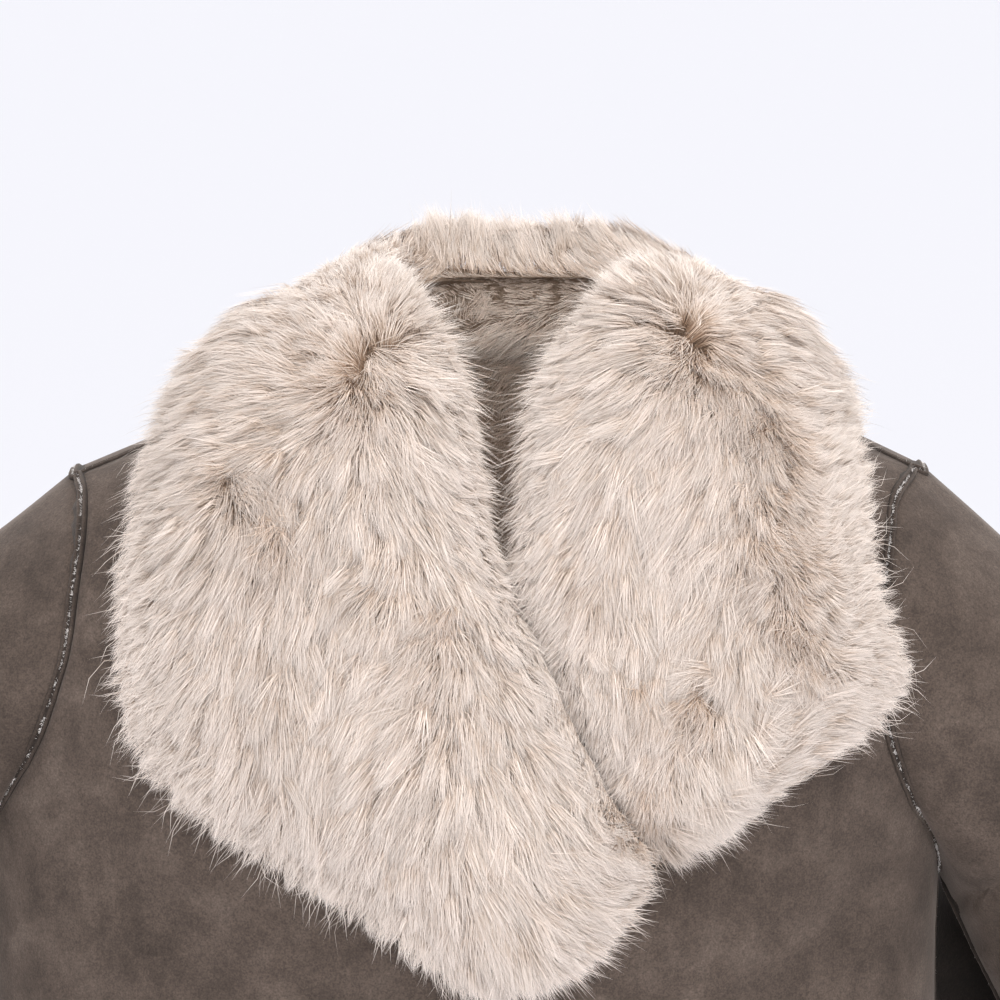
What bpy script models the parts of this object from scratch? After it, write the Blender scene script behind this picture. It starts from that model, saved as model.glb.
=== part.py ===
"""A suede-faced coat with a wide fur shawl collar, filled out as worn and open at the neck, hem and cuffs.

Units are metres and +Z is up. The front faces -Y and the wearer's right is at -X.
The origin is the middle of the neck, level with the points where the shoulders meet it.
A place on the body's cloth is given by x and a turn: the angle round the shoulder's ridge, from
-90 degrees on the front through 0 on the ridge to 90 degrees on the back, then straight down.
"""

import math

import bmesh
import bpy
from mathutils import Vector

# Cloth and seams
WALL = 0.003
SEAM_GAP = 0.0006
SLEEVE_GAP = {-1: 0.0026, 1: 0.0008}
LAP_RISE = 0.0055
LAP_X_SPAN = (-0.085, -0.035)
LAP_DEPTH_SPAN = (0.03, 0.10)
REST_GAP = 0.001
FUR_GAP = 0.0024
NORMAL_STEP = 0.020
NORMAL_TURN = 0.25
SLEEVE_RISE = 0.004

# Neck and shoulders
NECK_X = 0.010
NECK_HALF = 0.090
NECK_TOP_Z = 0.039
NECK_RISE_SPAN = (0.030, 0.100)
NECK_OPEN_SPAN = (0.062, 0.092)
SHOULDER_SLOPES = (0.418, 0.478)
SHOULDER_RADIUS = 0.09
RIDGE_Y = 0.005
SHOULDER_SEAM_TURN = math.radians(-13)
SHOULDER_SEAM_GAP = math.radians(0.9)
NECK_SEAM_TURN = math.radians(30)
BODY_ROUNDNESS = 2.3

# The body's rings: height, middle in x, half width, depth in front of the side seam and behind it
BODY_RINGS = (
    {"z": 0.06, "middle": 0.000, "half": 0.262, "front": 0.098, "back": 0.098},
    {"z": -0.06, "middle": -0.003, "half": 0.262, "front": 0.110, "back": 0.104},
    {"z": -0.15, "middle": -0.012, "half": 0.256, "front": 0.128, "back": 0.116},
    {"z": -0.25, "middle": -0.020, "half": 0.246, "front": 0.140, "back": 0.124},
    {"z": -0.35, "middle": -0.019, "half": 0.243, "front": 0.140, "back": 0.128},
    {"z": -0.50, "middle": -0.012, "half": 0.250, "front": 0.142, "back": 0.135},
    {"z": -0.62, "middle": -0.005, "half": 0.262, "front": 0.148, "back": 0.144},
    {"z": -0.74, "middle": 0.000, "half": 0.275, "front": 0.154, "back": 0.152},
)

# How far the back sweeps out behind each side seam, in a fold that starts under the arm
BACK_SWEEP = (
    {"z": -0.220, "out": 0.000},
    {"z": -0.252, "out": 0.000},
    {"z": -0.285, "out": 0.027},
    {"z": -0.325, "out": 0.052},
    {"z": -0.370, "out": 0.064},
    {"z": -0.450, "out": 0.064},
    {"z": -0.600, "out": 0.052},
    {"z": -0.740, "out": 0.042},
)
SWEEP_RISE_SPAN = (0.10, 0.42)
SWEEP_FALL_SPAN = (0.45, 1.00)

SIDE_NAMES = {-1: "right", 1: "left"}
HEM_Z = -0.735
HEM_FOLD_TOP = -0.34
HEM_FOLD_DEPTH = 0.008
HEM_FOLD_WIDTH = 0.135
HEM_FOLD_START = {-1: 0.4, 1: 1.1}
HEM_FLAT_SPAN = (0.045, 0.110)
SIDE_STEPS = 9
FRONT_COLUMNS = 12
BACK_COLUMNS = 26

# The armholes: height, then x on each front and on each side of the back
ARMHOLES = (
    {"z": -0.056, "front_right": -0.2150, "front_left": 0.2090, "back_right": -0.2150, "back_left": 0.2100},
    {"z": -0.066, "front_right": -0.2105, "front_left": 0.1980, "back_right": -0.2120, "back_left": 0.2040},
    {"z": -0.086, "front_right": -0.2095, "front_left": 0.1940, "back_right": -0.2100, "back_left": 0.1990},
    {"z": -0.110, "front_right": -0.2120, "front_left": 0.1905, "back_right": -0.2110, "back_left": 0.1970},
    {"z": -0.138, "front_right": -0.2155, "front_left": 0.1890, "back_right": -0.2150, "back_left": 0.1970},
    {"z": -0.162, "front_right": -0.2225, "front_left": 0.1897, "back_right": -0.2220, "back_left": 0.1995},
    {"z": -0.186, "front_right": -0.2318, "front_left": 0.1950, "back_right": -0.2320, "back_left": 0.2050},
    {"z": -0.207, "front_right": -0.2440, "front_left": 0.2025, "back_right": -0.2445, "back_left": 0.2120},
    {"z": -0.222, "front_right": -0.2530, "front_left": 0.2085, "back_right": -0.2540, "back_left": 0.2170},
)
ARMHOLE_LOW_STEPS = 5
ARMHOLE_HIGH_STEPS = 9
SHOULDER_POINT_X = {-1: -0.2165, 1: 0.2150}
UNDERARM_Z = {-1: -0.243, 1: -0.264}

# The front edges: height, x of the right front and of the left front, from the hem to the neck
FRONT_EDGES = (
    {"z": -0.735, "right": 0.034, "left": -0.034},
    {"z": -0.290, "right": 0.030, "left": -0.030},
    {"z": -0.235, "right": 0.026, "left": -0.020},
    {"z": -0.170, "right": 0.004, "left": 0.006},
    {"z": -0.105, "right": -0.026, "left": 0.036},
    {"z": -0.060, "right": -0.046, "left": 0.060},
    {"z": -0.020, "right": -0.066, "left": 0.084},
)
FRONT_NECK_X = {-1: -0.080, 1: 0.100}

# The sleeves: middle, half width and half depth of each section, and its lean from upright in degrees
SLEEVE_SECTIONS = (
    {"x": 0.3109, "y": 0.006, "z": -0.2744, "half": 0.0735, "depth": 0.0760, "lean": 25.0},
    {"x": 0.3466, "y": 0.006, "z": -0.3527, "half": 0.0705, "depth": 0.0725, "lean": 24.5},
    {"x": 0.3802, "y": 0.001, "z": -0.4319, "half": 0.0670, "depth": 0.0690, "lean": 23.0},
    {"x": 0.4096, "y": -0.009, "z": -0.5127, "half": 0.0635, "depth": 0.0655, "lean": 20.0},
    {"x": 0.4342, "y": -0.022, "z": -0.5930, "half": 0.0605, "depth": 0.0620, "lean": 17.0},
)
SLEEVE_SHIFT_X = {-1: -0.026, 1: 0.0}
SLEEVE_SHIFT_Z = {-1: 0.014, 1: 0.0}
SLEEVE_TOP_SLOPE = 41.0
SLEEVE_UNDER_SLOPE = 65.0
SLEEVE_RINGS_AT_HEAD = 6
SLEEVE_RINGS_BETWEEN = 2

# The fur on the right front: inner and outer edge of each stretch, from the tip up, and its pile
LAPEL_RIGHT = (
    {"inner_x": 0.0140, "inner_z": -0.2930, "outer_x": 0.0010, "outer_z": -0.2965, "pile": 0.010},
    {"inner_x": 0.0340, "inner_z": -0.2835, "outer_x": -0.0190, "outer_z": -0.2900, "pile": 0.024},
    {"inner_x": 0.0520, "inner_z": -0.2685, "outer_x": -0.0450, "outer_z": -0.2750, "pile": 0.031},
    {"inner_x": 0.0650, "inner_z": -0.2480, "outer_x": -0.0780, "outer_z": -0.2540, "pile": 0.034},
    {"inner_x": 0.0665, "inner_z": -0.2310, "outer_x": -0.1080, "outer_z": -0.2365, "pile": 0.035},
    {"inner_x": 0.0600, "inner_z": -0.2180, "outer_x": -0.1380, "outer_z": -0.2190, "pile": 0.035},
    {"inner_x": 0.0500, "inner_z": -0.2000, "outer_x": -0.1640, "outer_z": -0.2000, "pile": 0.034},
    {"inner_x": 0.0390, "inner_z": -0.1780, "outer_x": -0.1800, "outer_z": -0.1780, "pile": 0.034},
    {"inner_x": 0.0285, "inner_z": -0.1550, "outer_x": -0.1855, "outer_z": -0.1550, "pile": 0.034},
    {"inner_x": 0.0160, "inner_z": -0.1300, "outer_x": -0.1870, "outer_z": -0.1320, "pile": 0.034},
    {"inner_x": 0.0030, "inner_z": -0.1060, "outer_x": -0.1855, "outer_z": -0.1080, "pile": 0.034},
    {"inner_x": -0.0035, "inner_z": -0.0840, "outer_x": -0.1825, "outer_z": -0.0850, "pile": 0.035},
    {"inner_x": -0.0100, "inner_z": -0.0610, "outer_x": -0.1790, "outer_z": -0.0640, "pile": 0.036},
)

# The fur on the left front, which stops at the edge of the right one that laps over it
LAPEL_LEFT = (
    {"inner_x": 0.0735, "inner_z": -0.2330, "outer_x": 0.0790, "outer_z": -0.2335, "pile": 0.010},
    {"inner_x": 0.0690, "inner_z": -0.2235, "outer_x": 0.0950, "outer_z": -0.2265, "pile": 0.022},
    {"inner_x": 0.0600, "inner_z": -0.2080, "outer_x": 0.1160, "outer_z": -0.2130, "pile": 0.029},
    {"inner_x": 0.0510, "inner_z": -0.1920, "outer_x": 0.1430, "outer_z": -0.1970, "pile": 0.032},
    {"inner_x": 0.0420, "inner_z": -0.1740, "outer_x": 0.1700, "outer_z": -0.1795, "pile": 0.033},
    {"inner_x": 0.0330, "inner_z": -0.1560, "outer_x": 0.1885, "outer_z": -0.1600, "pile": 0.033},
    {"inner_x": 0.0225, "inner_z": -0.1350, "outer_x": 0.1950, "outer_z": -0.1430, "pile": 0.033},
    {"inner_x": 0.0125, "inner_z": -0.1150, "outer_x": 0.1880, "outer_z": -0.1280, "pile": 0.033},
    {"inner_x": 0.0085, "inner_z": -0.0980, "outer_x": 0.1820, "outer_z": -0.1080, "pile": 0.034},
    {"inner_x": 0.0090, "inner_z": -0.0800, "outer_x": 0.1800, "outer_z": -0.0860, "pile": 0.035},
    {"inner_x": 0.0115, "inner_z": -0.0620, "outer_x": 0.1795, "outer_z": -0.0660, "pile": 0.036},
)

# The collar round the neck, from the right lapel over the back to the left one. Turns are in
# degrees, and the stand says how far the inner side rises upright before the collar falls.
COLLAR = (
    {"inner_x": -0.0170, "inner_turn": -66, "outer_x": -0.1750, "outer_turn": -33, "pile": 0.038, "stand": 0.00},
    {"inner_x": -0.0260, "inner_turn": -52, "outer_x": -0.1715, "outer_turn": -20, "pile": 0.040, "stand": 0.10},
    {"inner_x": -0.0350, "inner_turn": -38, "outer_x": -0.1680, "outer_turn": -6, "pile": 0.041, "stand": 0.20},
    {"inner_x": -0.0410, "inner_turn": -22, "outer_x": -0.1650, "outer_turn": 10, "pile": 0.041, "stand": 0.30},
    {"inner_x": -0.0430, "inner_turn": -6, "outer_x": -0.1590, "outer_turn": 32, "pile": 0.042, "stand": 0.50},
    {"inner_x": -0.0420, "inner_turn": 8, "outer_x": -0.1480, "outer_turn": 55, "pile": 0.045, "stand": 0.70},
    {"inner_x": -0.0340, "inner_turn": 18, "outer_x": -0.1230, "outer_turn": 82, "pile": 0.047, "stand": 0.85},
    {"inner_x": -0.0140, "inner_turn": 25, "outer_x": -0.0700, "outer_turn": 110, "pile": 0.047, "stand": 0.80},
    {"inner_x": 0.0160, "inner_turn": 28, "outer_x": 0.0120, "outer_turn": 126, "pile": 0.049, "stand": 0.70},
    {"inner_x": 0.0460, "inner_turn": 26, "outer_x": 0.0950, "outer_turn": 110, "pile": 0.050, "stand": 0.75},
    {"inner_x": 0.0700, "inner_turn": 18, "outer_x": 0.1470, "outer_turn": 78, "pile": 0.050, "stand": 0.85},
    {"inner_x": 0.0780, "inner_turn": 8, "outer_x": 0.1660, "outer_turn": 53, "pile": 0.048, "stand": 0.70},
    {"inner_x": 0.0720, "inner_turn": -6, "outer_x": 0.1710, "outer_turn": 30, "pile": 0.044, "stand": 0.50},
    {"inner_x": 0.0590, "inner_turn": -22, "outer_x": 0.1745, "outer_turn": 10, "pile": 0.043, "stand": 0.30},
    {"inner_x": 0.0450, "inner_turn": -38, "outer_x": 0.1760, "outer_turn": -6, "pile": 0.042, "stand": 0.20},
    {"inner_x": 0.0310, "inner_turn": -52, "outer_x": 0.1780, "outer_turn": -20, "pile": 0.041, "stand": 0.10},
    {"inner_x": 0.0190, "inner_turn": -66, "outer_x": 0.1785, "outer_turn": -33, "pile": 0.038, "stand": 0.00},
)
FUR_STEPS = 12
FUR_INNER_POWER = 0.60
FUR_OUTER_POWER = 1.7
FUR_EDGE = 0.0012
FUR_SPLIT = 2
FUR_JOIN_SHARE = 0.98
FUR_LAP_X_SPAN = (-0.12, -0.04)
FUR_RISE_X_SPAN = (0.165, 0.190)

# The fur that lines the back of the neck inside
NECK_FUR_GAP = 0.0044
NECK_FUR_PILE = 0.013
NECK_FUR_TOP = math.radians(31)
NECK_FUR_BOTTOM_Z = -0.175
NECK_FUR_HALF = 0.112
NECK_FUR_NARROWING = 0.42
NECK_FUR_COLUMNS = 14
NECK_FUR_ROWS = 9

FUR_COLOUR = (0.72, 0.64, 0.52, 1.0)
NECK_FUR_COLOUR = (0.55, 0.45, 0.35, 1.0)
SUEDE_COLOUR = (0.23, 0.17, 0.13, 1.0)


def between(table, key, value, column):
    """A table's column at a value of its key column, on a smooth curve through the rows."""
    rows = sorted(table, key=lambda row: row[key])
    if value <= rows[0][key]:
        return rows[0][column]
    if value >= rows[-1][key]:
        return rows[-1][column]
    place = max(i for i in range(len(rows) - 1) if rows[i][key] <= value)
    low, high = rows[place], rows[place + 1]
    before, after = rows[max(place - 1, 0)], rows[min(place + 2, len(rows) - 1)]
    step = high[key] - low[key]
    start = (high[column] - before[column]) / (high[key] - before[key]) * step
    end = (after[column] - low[column]) / (after[key] - low[key]) * step
    return hermite(low[column], start, high[column], end, (value - low[key]) / step)


def hermite(start, start_slope, end, end_slope, t):
    """A cubic from start to end with the given slopes."""
    return (
        start * (2 * t**3 - 3 * t**2 + 1)
        + start_slope * (t**3 - 2 * t**2 + t)
        + end * (3 * t**2 - 2 * t**3)
        + end_slope * (t**3 - t**2)
    )


def ease(value, low, high):
    """0 below low, 1 above high, and smooth between them."""
    t = min(1.0, max(0.0, (value - low) / (high - low)))
    return t * t * (3 - 2 * t)


def ridge_z(x):
    """Height of the shoulder's ridge, which closes over the neck as if it had no opening."""
    away = x - NECK_X
    right, left = SHOULDER_SLOPES
    slope = right + (left - right) * ease(away, -NECK_HALF, NECK_HALF)
    shoulder = (NECK_HALF - abs(away)) * slope
    return NECK_TOP_Z + (shoulder - NECK_TOP_Z) * ease(abs(away), *NECK_RISE_SPAN)


def drop_of(turn):
    """How far below the ridge a turn lies."""
    angle = abs(turn)
    if angle <= math.pi / 2:
        return SHOULDER_RADIUS * (1 - math.cos(angle))
    return SHOULDER_RADIUS * (1 + angle - math.pi / 2)


def turn_at(x, z, face):
    """The turn of a place on the front (face -1) or back (face 1)."""
    drop = max(0.0, ridge_z(x) - z) / SHOULDER_RADIUS
    return face * (math.acos(1 - drop) if drop < 1 else drop - 1 + math.pi / 2)


def hem_fold(x, z, face):
    """Soft upright folds that open towards the hem, flat where the fronts lap."""
    open_by = ease(-z, -HEM_FOLD_TOP, -HEM_Z)
    if face < 0:
        open_by *= ease(abs(x), *HEM_FLAT_SPAN)
    wave = math.sin(x * 2 * math.pi / HEM_FOLD_WIDTH + HEM_FOLD_START[face])
    return HEM_FOLD_DEPTH * open_by * wave


def cloth_point(x, turn):
    """A point of the body's outer cloth."""
    face = -1 if turn < 0 else 1
    z = ridge_z(x) - drop_of(turn)
    half = between(BODY_RINGS, "z", z, "half")
    away = min(1.0, abs(x - between(BODY_RINGS, "z", z, "middle")) / half)
    round_off = (1 - away**BODY_ROUNDNESS) ** (1 / BODY_ROUNDNESS)
    depth = between(BODY_RINGS, "z", z, "front" if face < 0 else "back")
    depth += hem_fold(x, z, face) * (1 - away**6)
    if face > 0:
        sweep = ease(round_off, *SWEEP_RISE_SPAN) * (1 - ease(round_off, *SWEEP_FALL_SPAN))
        middle = between(BODY_RINGS, "z", z, "middle")
        x += math.copysign(between(BACK_SWEEP, "z", z, "out") * sweep, x - middle)
    return Vector((x, RIDGE_Y + face * depth * round_off * math.sin(min(abs(turn), math.pi / 2)), z))


def cloth_normal(x, turn):
    """The direction out of the body's cloth."""
    along_x = cloth_point(x + NORMAL_STEP, turn) - cloth_point(x - NORMAL_STEP, turn)
    along_turn = cloth_point(x, turn + NORMAL_TURN) - cloth_point(x, turn - NORMAL_TURN)
    normal = along_x.cross(along_turn).normalized()
    if normal.z < 0 and abs(turn) < math.pi / 3:
        normal.negate()
    if normal.y * turn < 0 and abs(turn) >= math.pi / 3:
        normal.negate()
    return normal


def side_of(z, side):
    """x of the side seam."""
    return between(BODY_RINGS, "z", z, "middle") + side * between(BODY_RINGS, "z", z, "half")


def around(x, z):
    """How far round the body from the right side seam (0) to the left one (pi) a place is."""
    share = (x - between(BODY_RINGS, "z", z, "middle")) / between(BODY_RINGS, "z", z, "half")
    share = min(1.0, max(-1.0, share))
    return math.acos(-math.copysign(abs(share) ** (BODY_ROUNDNESS / 2), share))


def x_around(angle, z):
    """x of a place so far round the body."""
    share = -math.copysign(abs(math.cos(angle)) ** (2 / BODY_ROUNDNESS), math.cos(angle))
    return between(BODY_RINGS, "z", z, "middle") + share * between(BODY_RINGS, "z", z, "half")


def row_point(start, end, face, t, level):
    """A point between two places (x, turn) of a row; level 0 keeps the height, 1 keeps the turn."""
    heights = [ridge_z(x) - drop_of(turn) for x, turn in (start, end)]
    angle = around(start[0], heights[0]) * (1 - t) + around(end[0], heights[1]) * t
    turn = start[1] * (1 - t) + end[1] * t
    z_level = heights[0] * (1 - t) + heights[1] * t
    z = z_level
    for _ in range(4):
        x = x_around(angle, z)
        z = z_level * (1 - level) + (ridge_z(x) - drop_of(turn)) * level
    return cloth_point(x, turn_at(x, z, face))


def armhole(side, face):
    """Places (x, turn) along an armhole from the underarm up to the shoulder seam."""
    low = UNDERARM_Z[side]
    bottom = turn_at(side_of(low, side), low, face)
    bend = face * math.pi / 2
    turns = [bottom + (bend - bottom) * i / ARMHOLE_LOW_STEPS for i in range(ARMHOLE_LOW_STEPS)]
    turns += [
        bend + (SHOULDER_SEAM_TURN - bend) * i / ARMHOLE_HIGH_STEPS for i in range(ARMHOLE_HIGH_STEPS + 1)
    ]
    places = [(side_of(low, side), bottom)]
    places += [(armhole_x(side, face, turn), turn) for turn in turns[1:-1]]
    return places + [(SHOULDER_POINT_X[side], SHOULDER_SEAM_TURN)]


def armhole_x(side, face, turn):
    """x of an armhole at a turn."""
    x = SHOULDER_POINT_X[side]
    for _ in range(8):
        z = ridge_z(x) - drop_of(turn)
        x = 0.5 * x + 0.5 * armhole_x_at_height(side, face, z)
    if face > 0:
        top = 1 - ease(turn, math.radians(8), math.radians(38))
        x += (SHOULDER_POINT_X[side] - x) * top
    return x


def armhole_x_at_height(side, face, z):
    """x of an armhole at a height, curving out to the side seam at the underarm."""
    low = UNDERARM_Z[side]
    x = between(ARMHOLES, "z", z, ("back_" if face > 0 else "front_") + SIDE_NAMES[side])
    last = ARMHOLES[-1]["z"]
    if z < last:
        share = min(1.0, (last - z) / (last - low))
        x += (side_of(low, side) - x) * (1 - (1 - share) ** 2) ** 0.5 * share**0.2
    return x


def new_object(name, mesh_builder, colour, roughness):
    """A named object with its own material, from points and faces."""
    mesh = bpy.data.meshes.new(name)
    build = bmesh.new()
    mesh_builder(build)
    bmesh.ops.recalc_face_normals(build, faces=build.faces)
    build.to_mesh(mesh)
    build.free()
    mesh.shade_smooth()
    item = bpy.data.objects.new(name, mesh)
    bpy.data.collections["Coat"].objects.link(item)
    material = bpy.data.materials.new(name)
    material.use_nodes = True
    shader = material.node_tree.nodes["Principled BSDF"]
    shader.inputs["Base Color"].default_value = colour
    shader.inputs["Roughness"].default_value = roughness
    material.diffuse_color = colour
    mesh.materials.append(material)
    return item


def cloth_panel(name, rows, closed=False, thickness=WALL, colour=SUEDE_COLOUR):
    """A wall of cloth through rows of points, its thickness inside them."""

    def build(panel):
        grid = [[panel.verts.new(point) for point in row] for row in rows]
        for low, high in zip(grid, grid[1:]):
            across = len(low) if closed else len(low) - 1
            for i in range(across):
                j = (i + 1) % len(low)
                panel.faces.new((low[i], low[j], high[j], high[i]))

    item = new_object(name, build, colour, 0.9)
    if item.data.polygons[0].normal.dot(outward_at_start(rows)) < 0:
        item.data.flip_normals()
    wall = item.modifiers.new("Cloth", "SOLIDIFY")
    wall.thickness = thickness
    wall.offset = -1.0
    return item


def outward_at_start(rows):
    """The direction that faces out at the first point of a panel."""
    middle_x = sum(point.x for row in rows for point in row) / sum(len(row) for row in rows)
    return rows[0][0] - Vector((middle_x, RIDGE_Y, rows[0][0].z))


def front_panel(side):
    """One front, from the side seam and armhole to its edge and the neck."""
    low = UNDERARM_Z[side]
    neck = (FRONT_NECK_X[side], SHOULDER_SEAM_TURN - SHOULDER_SEAM_GAP)
    neck_z = ridge_z(neck[0]) - drop_of(neck[1])
    heights = [HEM_Z + (low - HEM_Z) * i / SIDE_STEPS for i in range(SIDE_STEPS)]
    outer = [(side_of(z, side), turn_at(side_of(z, side), z, -1)) for z in heights]
    outer += armhole(side, -1)
    outer[-1] = (outer[-1][0], neck[1])
    rows = []
    for i, place in enumerate(outer):
        place_z = ridge_z(place[0]) - drop_of(place[1])
        share = max(0, i - SIDE_STEPS) / (len(outer) - 1 - SIDE_STEPS)
        inner_z = place_z if i <= SIDE_STEPS else low + (neck_z - low) * share
        inner_x = between(FRONT_EDGES, "z", inner_z, SIDE_NAMES[side])
        inner = (inner_x, turn_at(inner_x, inner_z, -1))
        if i == len(outer) - 1:
            inner = neck
        level = ease(i, SIDE_STEPS - 2, len(outer) - 5)
        row = [row_point(place, inner, -1, j / FRONT_COLUMNS, level) for j in range(FRONT_COLUMNS + 1)]
        if side < 0:
            for point in row:
                point.y -= LAP_RISE * ease(point.x, *LAP_X_SPAN) * ease(-point.z, *LAP_DEPTH_SPAN)
        rows.append([seam_edge(row[0], side, i, -1)] + row[1:])
    return cloth_panel("front_" + SIDE_NAMES[side], rows)


def seam_edge(point, side, row, face):
    """A point of a panel's outer edge, drawn back from the seam by half its gap."""
    if row <= SIDE_STEPS:
        point.y = RIDGE_Y + face * SEAM_GAP
    if row >= SIDE_STEPS:
        point.x -= side * SLEEVE_GAP[side]
    return point


def back_panel():
    """The back in one piece, over the shoulders' ridge to the seams and round the neck."""
    steps = [i / BACK_COLUMNS for i in range(BACK_COLUMNS + 1)]
    holes = {side: armhole(side, 1) for side in (-1, 1)}
    rows = []
    for i in range(SIDE_STEPS + len(holes[1])):
        row = []
        for t in steps:
            if i < SIDE_STEPS:
                row.append(back_below(t, i / SIDE_STEPS))
            else:
                row.append(back_above(t, i - SIDE_STEPS, holes))
        row[0] = seam_edge(row[0], -1, i, 1)
        row[-1] = seam_edge(row[-1], 1, i, 1)
        rows.append(row)
    return cloth_panel("back", rows)


def back_below(t, share):
    """A point of the back under the armholes."""
    ends = []
    for side in (-1, 1):
        z = HEM_Z + (UNDERARM_Z[side] - HEM_Z) * share
        ends.append((side_of(z, side), turn_at(side_of(z, side), z, 1)))
    return row_point(ends[0], ends[1], 1, t, 0.0)


def back_above(t, step, holes):
    """A point of the back from the underarms up, over the ridge to the front's seam."""
    start = back_below(t, 1.0)
    side = 1 if t > 0.5 else -1
    hole = holes[side]
    low_turn = turn_at(start.x, start.z, 1)
    top_x = SHOULDER_POINT_X[-1] + (SHOULDER_POINT_X[1] - SHOULDER_POINT_X[-1]) * t
    open_neck = 1 - ease(abs(top_x - NECK_X), *NECK_OPEN_SPAN)
    top_turn = SHOULDER_SEAM_TURN + (NECK_SEAM_TURN - SHOULDER_SEAM_TURN) * open_neck
    share = (hole[step][1] - hole[0][1]) / (hole[-1][1] - hole[0][1])
    turn = low_turn + (top_turn - low_turn) * share
    straight = hole[0][0] + (hole[-1][0] - hole[0][0]) * share
    middle = start.x + (top_x - start.x) * share
    x = middle + (hole[step][0] - straight) * abs(2 * t - 1) ** 3
    return cloth_point(x, turn)


def armhole_loop(side):
    """The armhole's loop, from the underarm up the front, over the ridge and down the back."""
    front = [cloth_point(*place) for place in armhole(side, -1)]
    front[0].y = RIDGE_Y
    back = [cloth_point(*place) for place in armhole(side, 1)]
    return front + back[-2:0:-1]


def loop_shares(loop):
    """How far along a closed loop each of its points lies, from 0 to 1."""
    lengths = [0.0]
    for a, b in zip(loop, loop[1:] + loop[:1]):
        lengths.append(lengths[-1] + (b - a).length)
    return [length / lengths[-1] for length in lengths[:-1]]


def sleeve_section(side, row, shares):
    """One ring of a sleeve, from its inner side round the front to the outer side and the back."""
    lean = math.radians(row["lean"])
    across = Vector((side * math.cos(lean), 0, math.sin(lean)))
    middle = Vector((side * row["x"] + SLEEVE_SHIFT_X[side], row["y"], row["z"] + SLEEVE_SHIFT_Z[side]))
    ring = []
    for share in shares:
        angle = 2 * math.pi * share
        ring.append(
            middle - across * row["half"] * math.cos(angle) - Vector((0, row["depth"] * math.sin(angle), 0))
        )
    return ring


def sleeve(side):
    """A sleeve from its armhole to its open cuff."""
    start = armhole_loop(side)
    shares = loop_shares(start)
    first = sleeve_section(side, SLEEVE_SECTIONS[0], shares)
    under, top = math.radians(SLEEVE_UNDER_SLOPE), math.radians(SLEEVE_TOP_SLOPE)
    lean = math.radians(SLEEVE_SECTIONS[0]["lean"])
    along = Vector((side * math.sin(lean), 0, -math.cos(lean)))
    rings = []
    for i in range(SLEEVE_RINGS_AT_HEAD):
        t = i / SLEEVE_RINGS_AT_HEAD
        ring = []
        for k, around_share in enumerate(shares):
            up = (1 - math.cos(2 * math.pi * around_share)) / 2
            slope = under + (top - under) * up
            leave = Vector((side * math.cos(slope), 0, -math.sin(slope)))
            reach = (first[k] - start[k]).length
            origin = start[k] + leave * SLEEVE_GAP[side]
            ring.append(hermite(origin, leave * reach, first[k], along * reach, t))
        rings.append(ring)
    for low, high in zip(SLEEVE_SECTIONS, SLEEVE_SECTIONS[1:]):
        for i in range(SLEEVE_RINGS_BETWEEN):
            t = i / SLEEVE_RINGS_BETWEEN
            z = low["z"] + (high["z"] - low["z"]) * t
            row = {column: between(SLEEVE_SECTIONS, "z", z, column) for column in low}
            rings.append(sleeve_section(side, row, shares))
    rings.append(sleeve_section(side, SLEEVE_SECTIONS[-1], shares))
    return cloth_panel("sleeve_" + SIDE_NAMES[side], rings, closed=True)


def lapel_stretches(table):
    """A lapel's stretches as places with turns."""
    stretches = []
    for row in table:
        stretches.append(
            {
                "inner_x": row["inner_x"],
                "inner_turn": turn_at(row["inner_x"], row["inner_z"], -1),
                "outer_x": row["outer_x"],
                "outer_turn": turn_at(row["outer_x"], row["outer_z"], -1),
                "pile": row["pile"],
                "stand": 0.0,
            }
        )
    return stretches


def collar_stretches():
    """The collar's stretches with turns in radians."""
    return [
        {**row, "inner_turn": math.radians(row["inner_turn"]), "outer_turn": math.radians(row["outer_turn"])}
        for row in COLLAR
    ]


def fur_lift(x, side):
    """How far the fur's underside stands off the body: more where the right front laps over the left."""
    lift = FUR_GAP + SLEEVE_RISE * ease(x, *FUR_RISE_X_SPAN)
    if side < 0:
        lift += (LAP_RISE + REST_GAP) * ease(x, *FUR_LAP_X_SPAN)
    return lift


def fur_ring(stretch, side):
    """A closed section of fur: over its top from the inner to the outer edge, and back underneath."""
    inner = (stretch["inner_x"], stretch["inner_turn"])
    outer = (stretch["outer_x"], stretch["outer_turn"])
    over, under = [], []
    for i in range(FUR_STEPS + 1):
        angle = math.pi * i / FUR_STEPS
        share = (1 - math.cos(angle)) / 2
        power = FUR_INNER_POWER + (FUR_OUTER_POWER - FUR_INNER_POWER) * share
        height = stretch["pile"] * max(0.0, math.sin(angle)) ** power
        over.append(fur_point(inner, outer, share, height + FUR_EDGE, side, stretch["stand"]))
        under.append(fur_point(inner, outer, share, 0.0, side, 0.0))
    return over + under[-2:0:-1]


def fur_point(inner, outer, share, height, side, stand):
    """A point over the body between the fur's edges."""
    x = inner[0] + (outer[0] - inner[0]) * share
    turn = inner[1] + (outer[1] - inner[1]) * share
    out = cloth_normal(x, turn)
    rise = (out + Vector((0, 0, stand * (1 - share)))).normalized()
    return cloth_point(x, turn) + out * fur_lift(x, side) + rise * height


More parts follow.
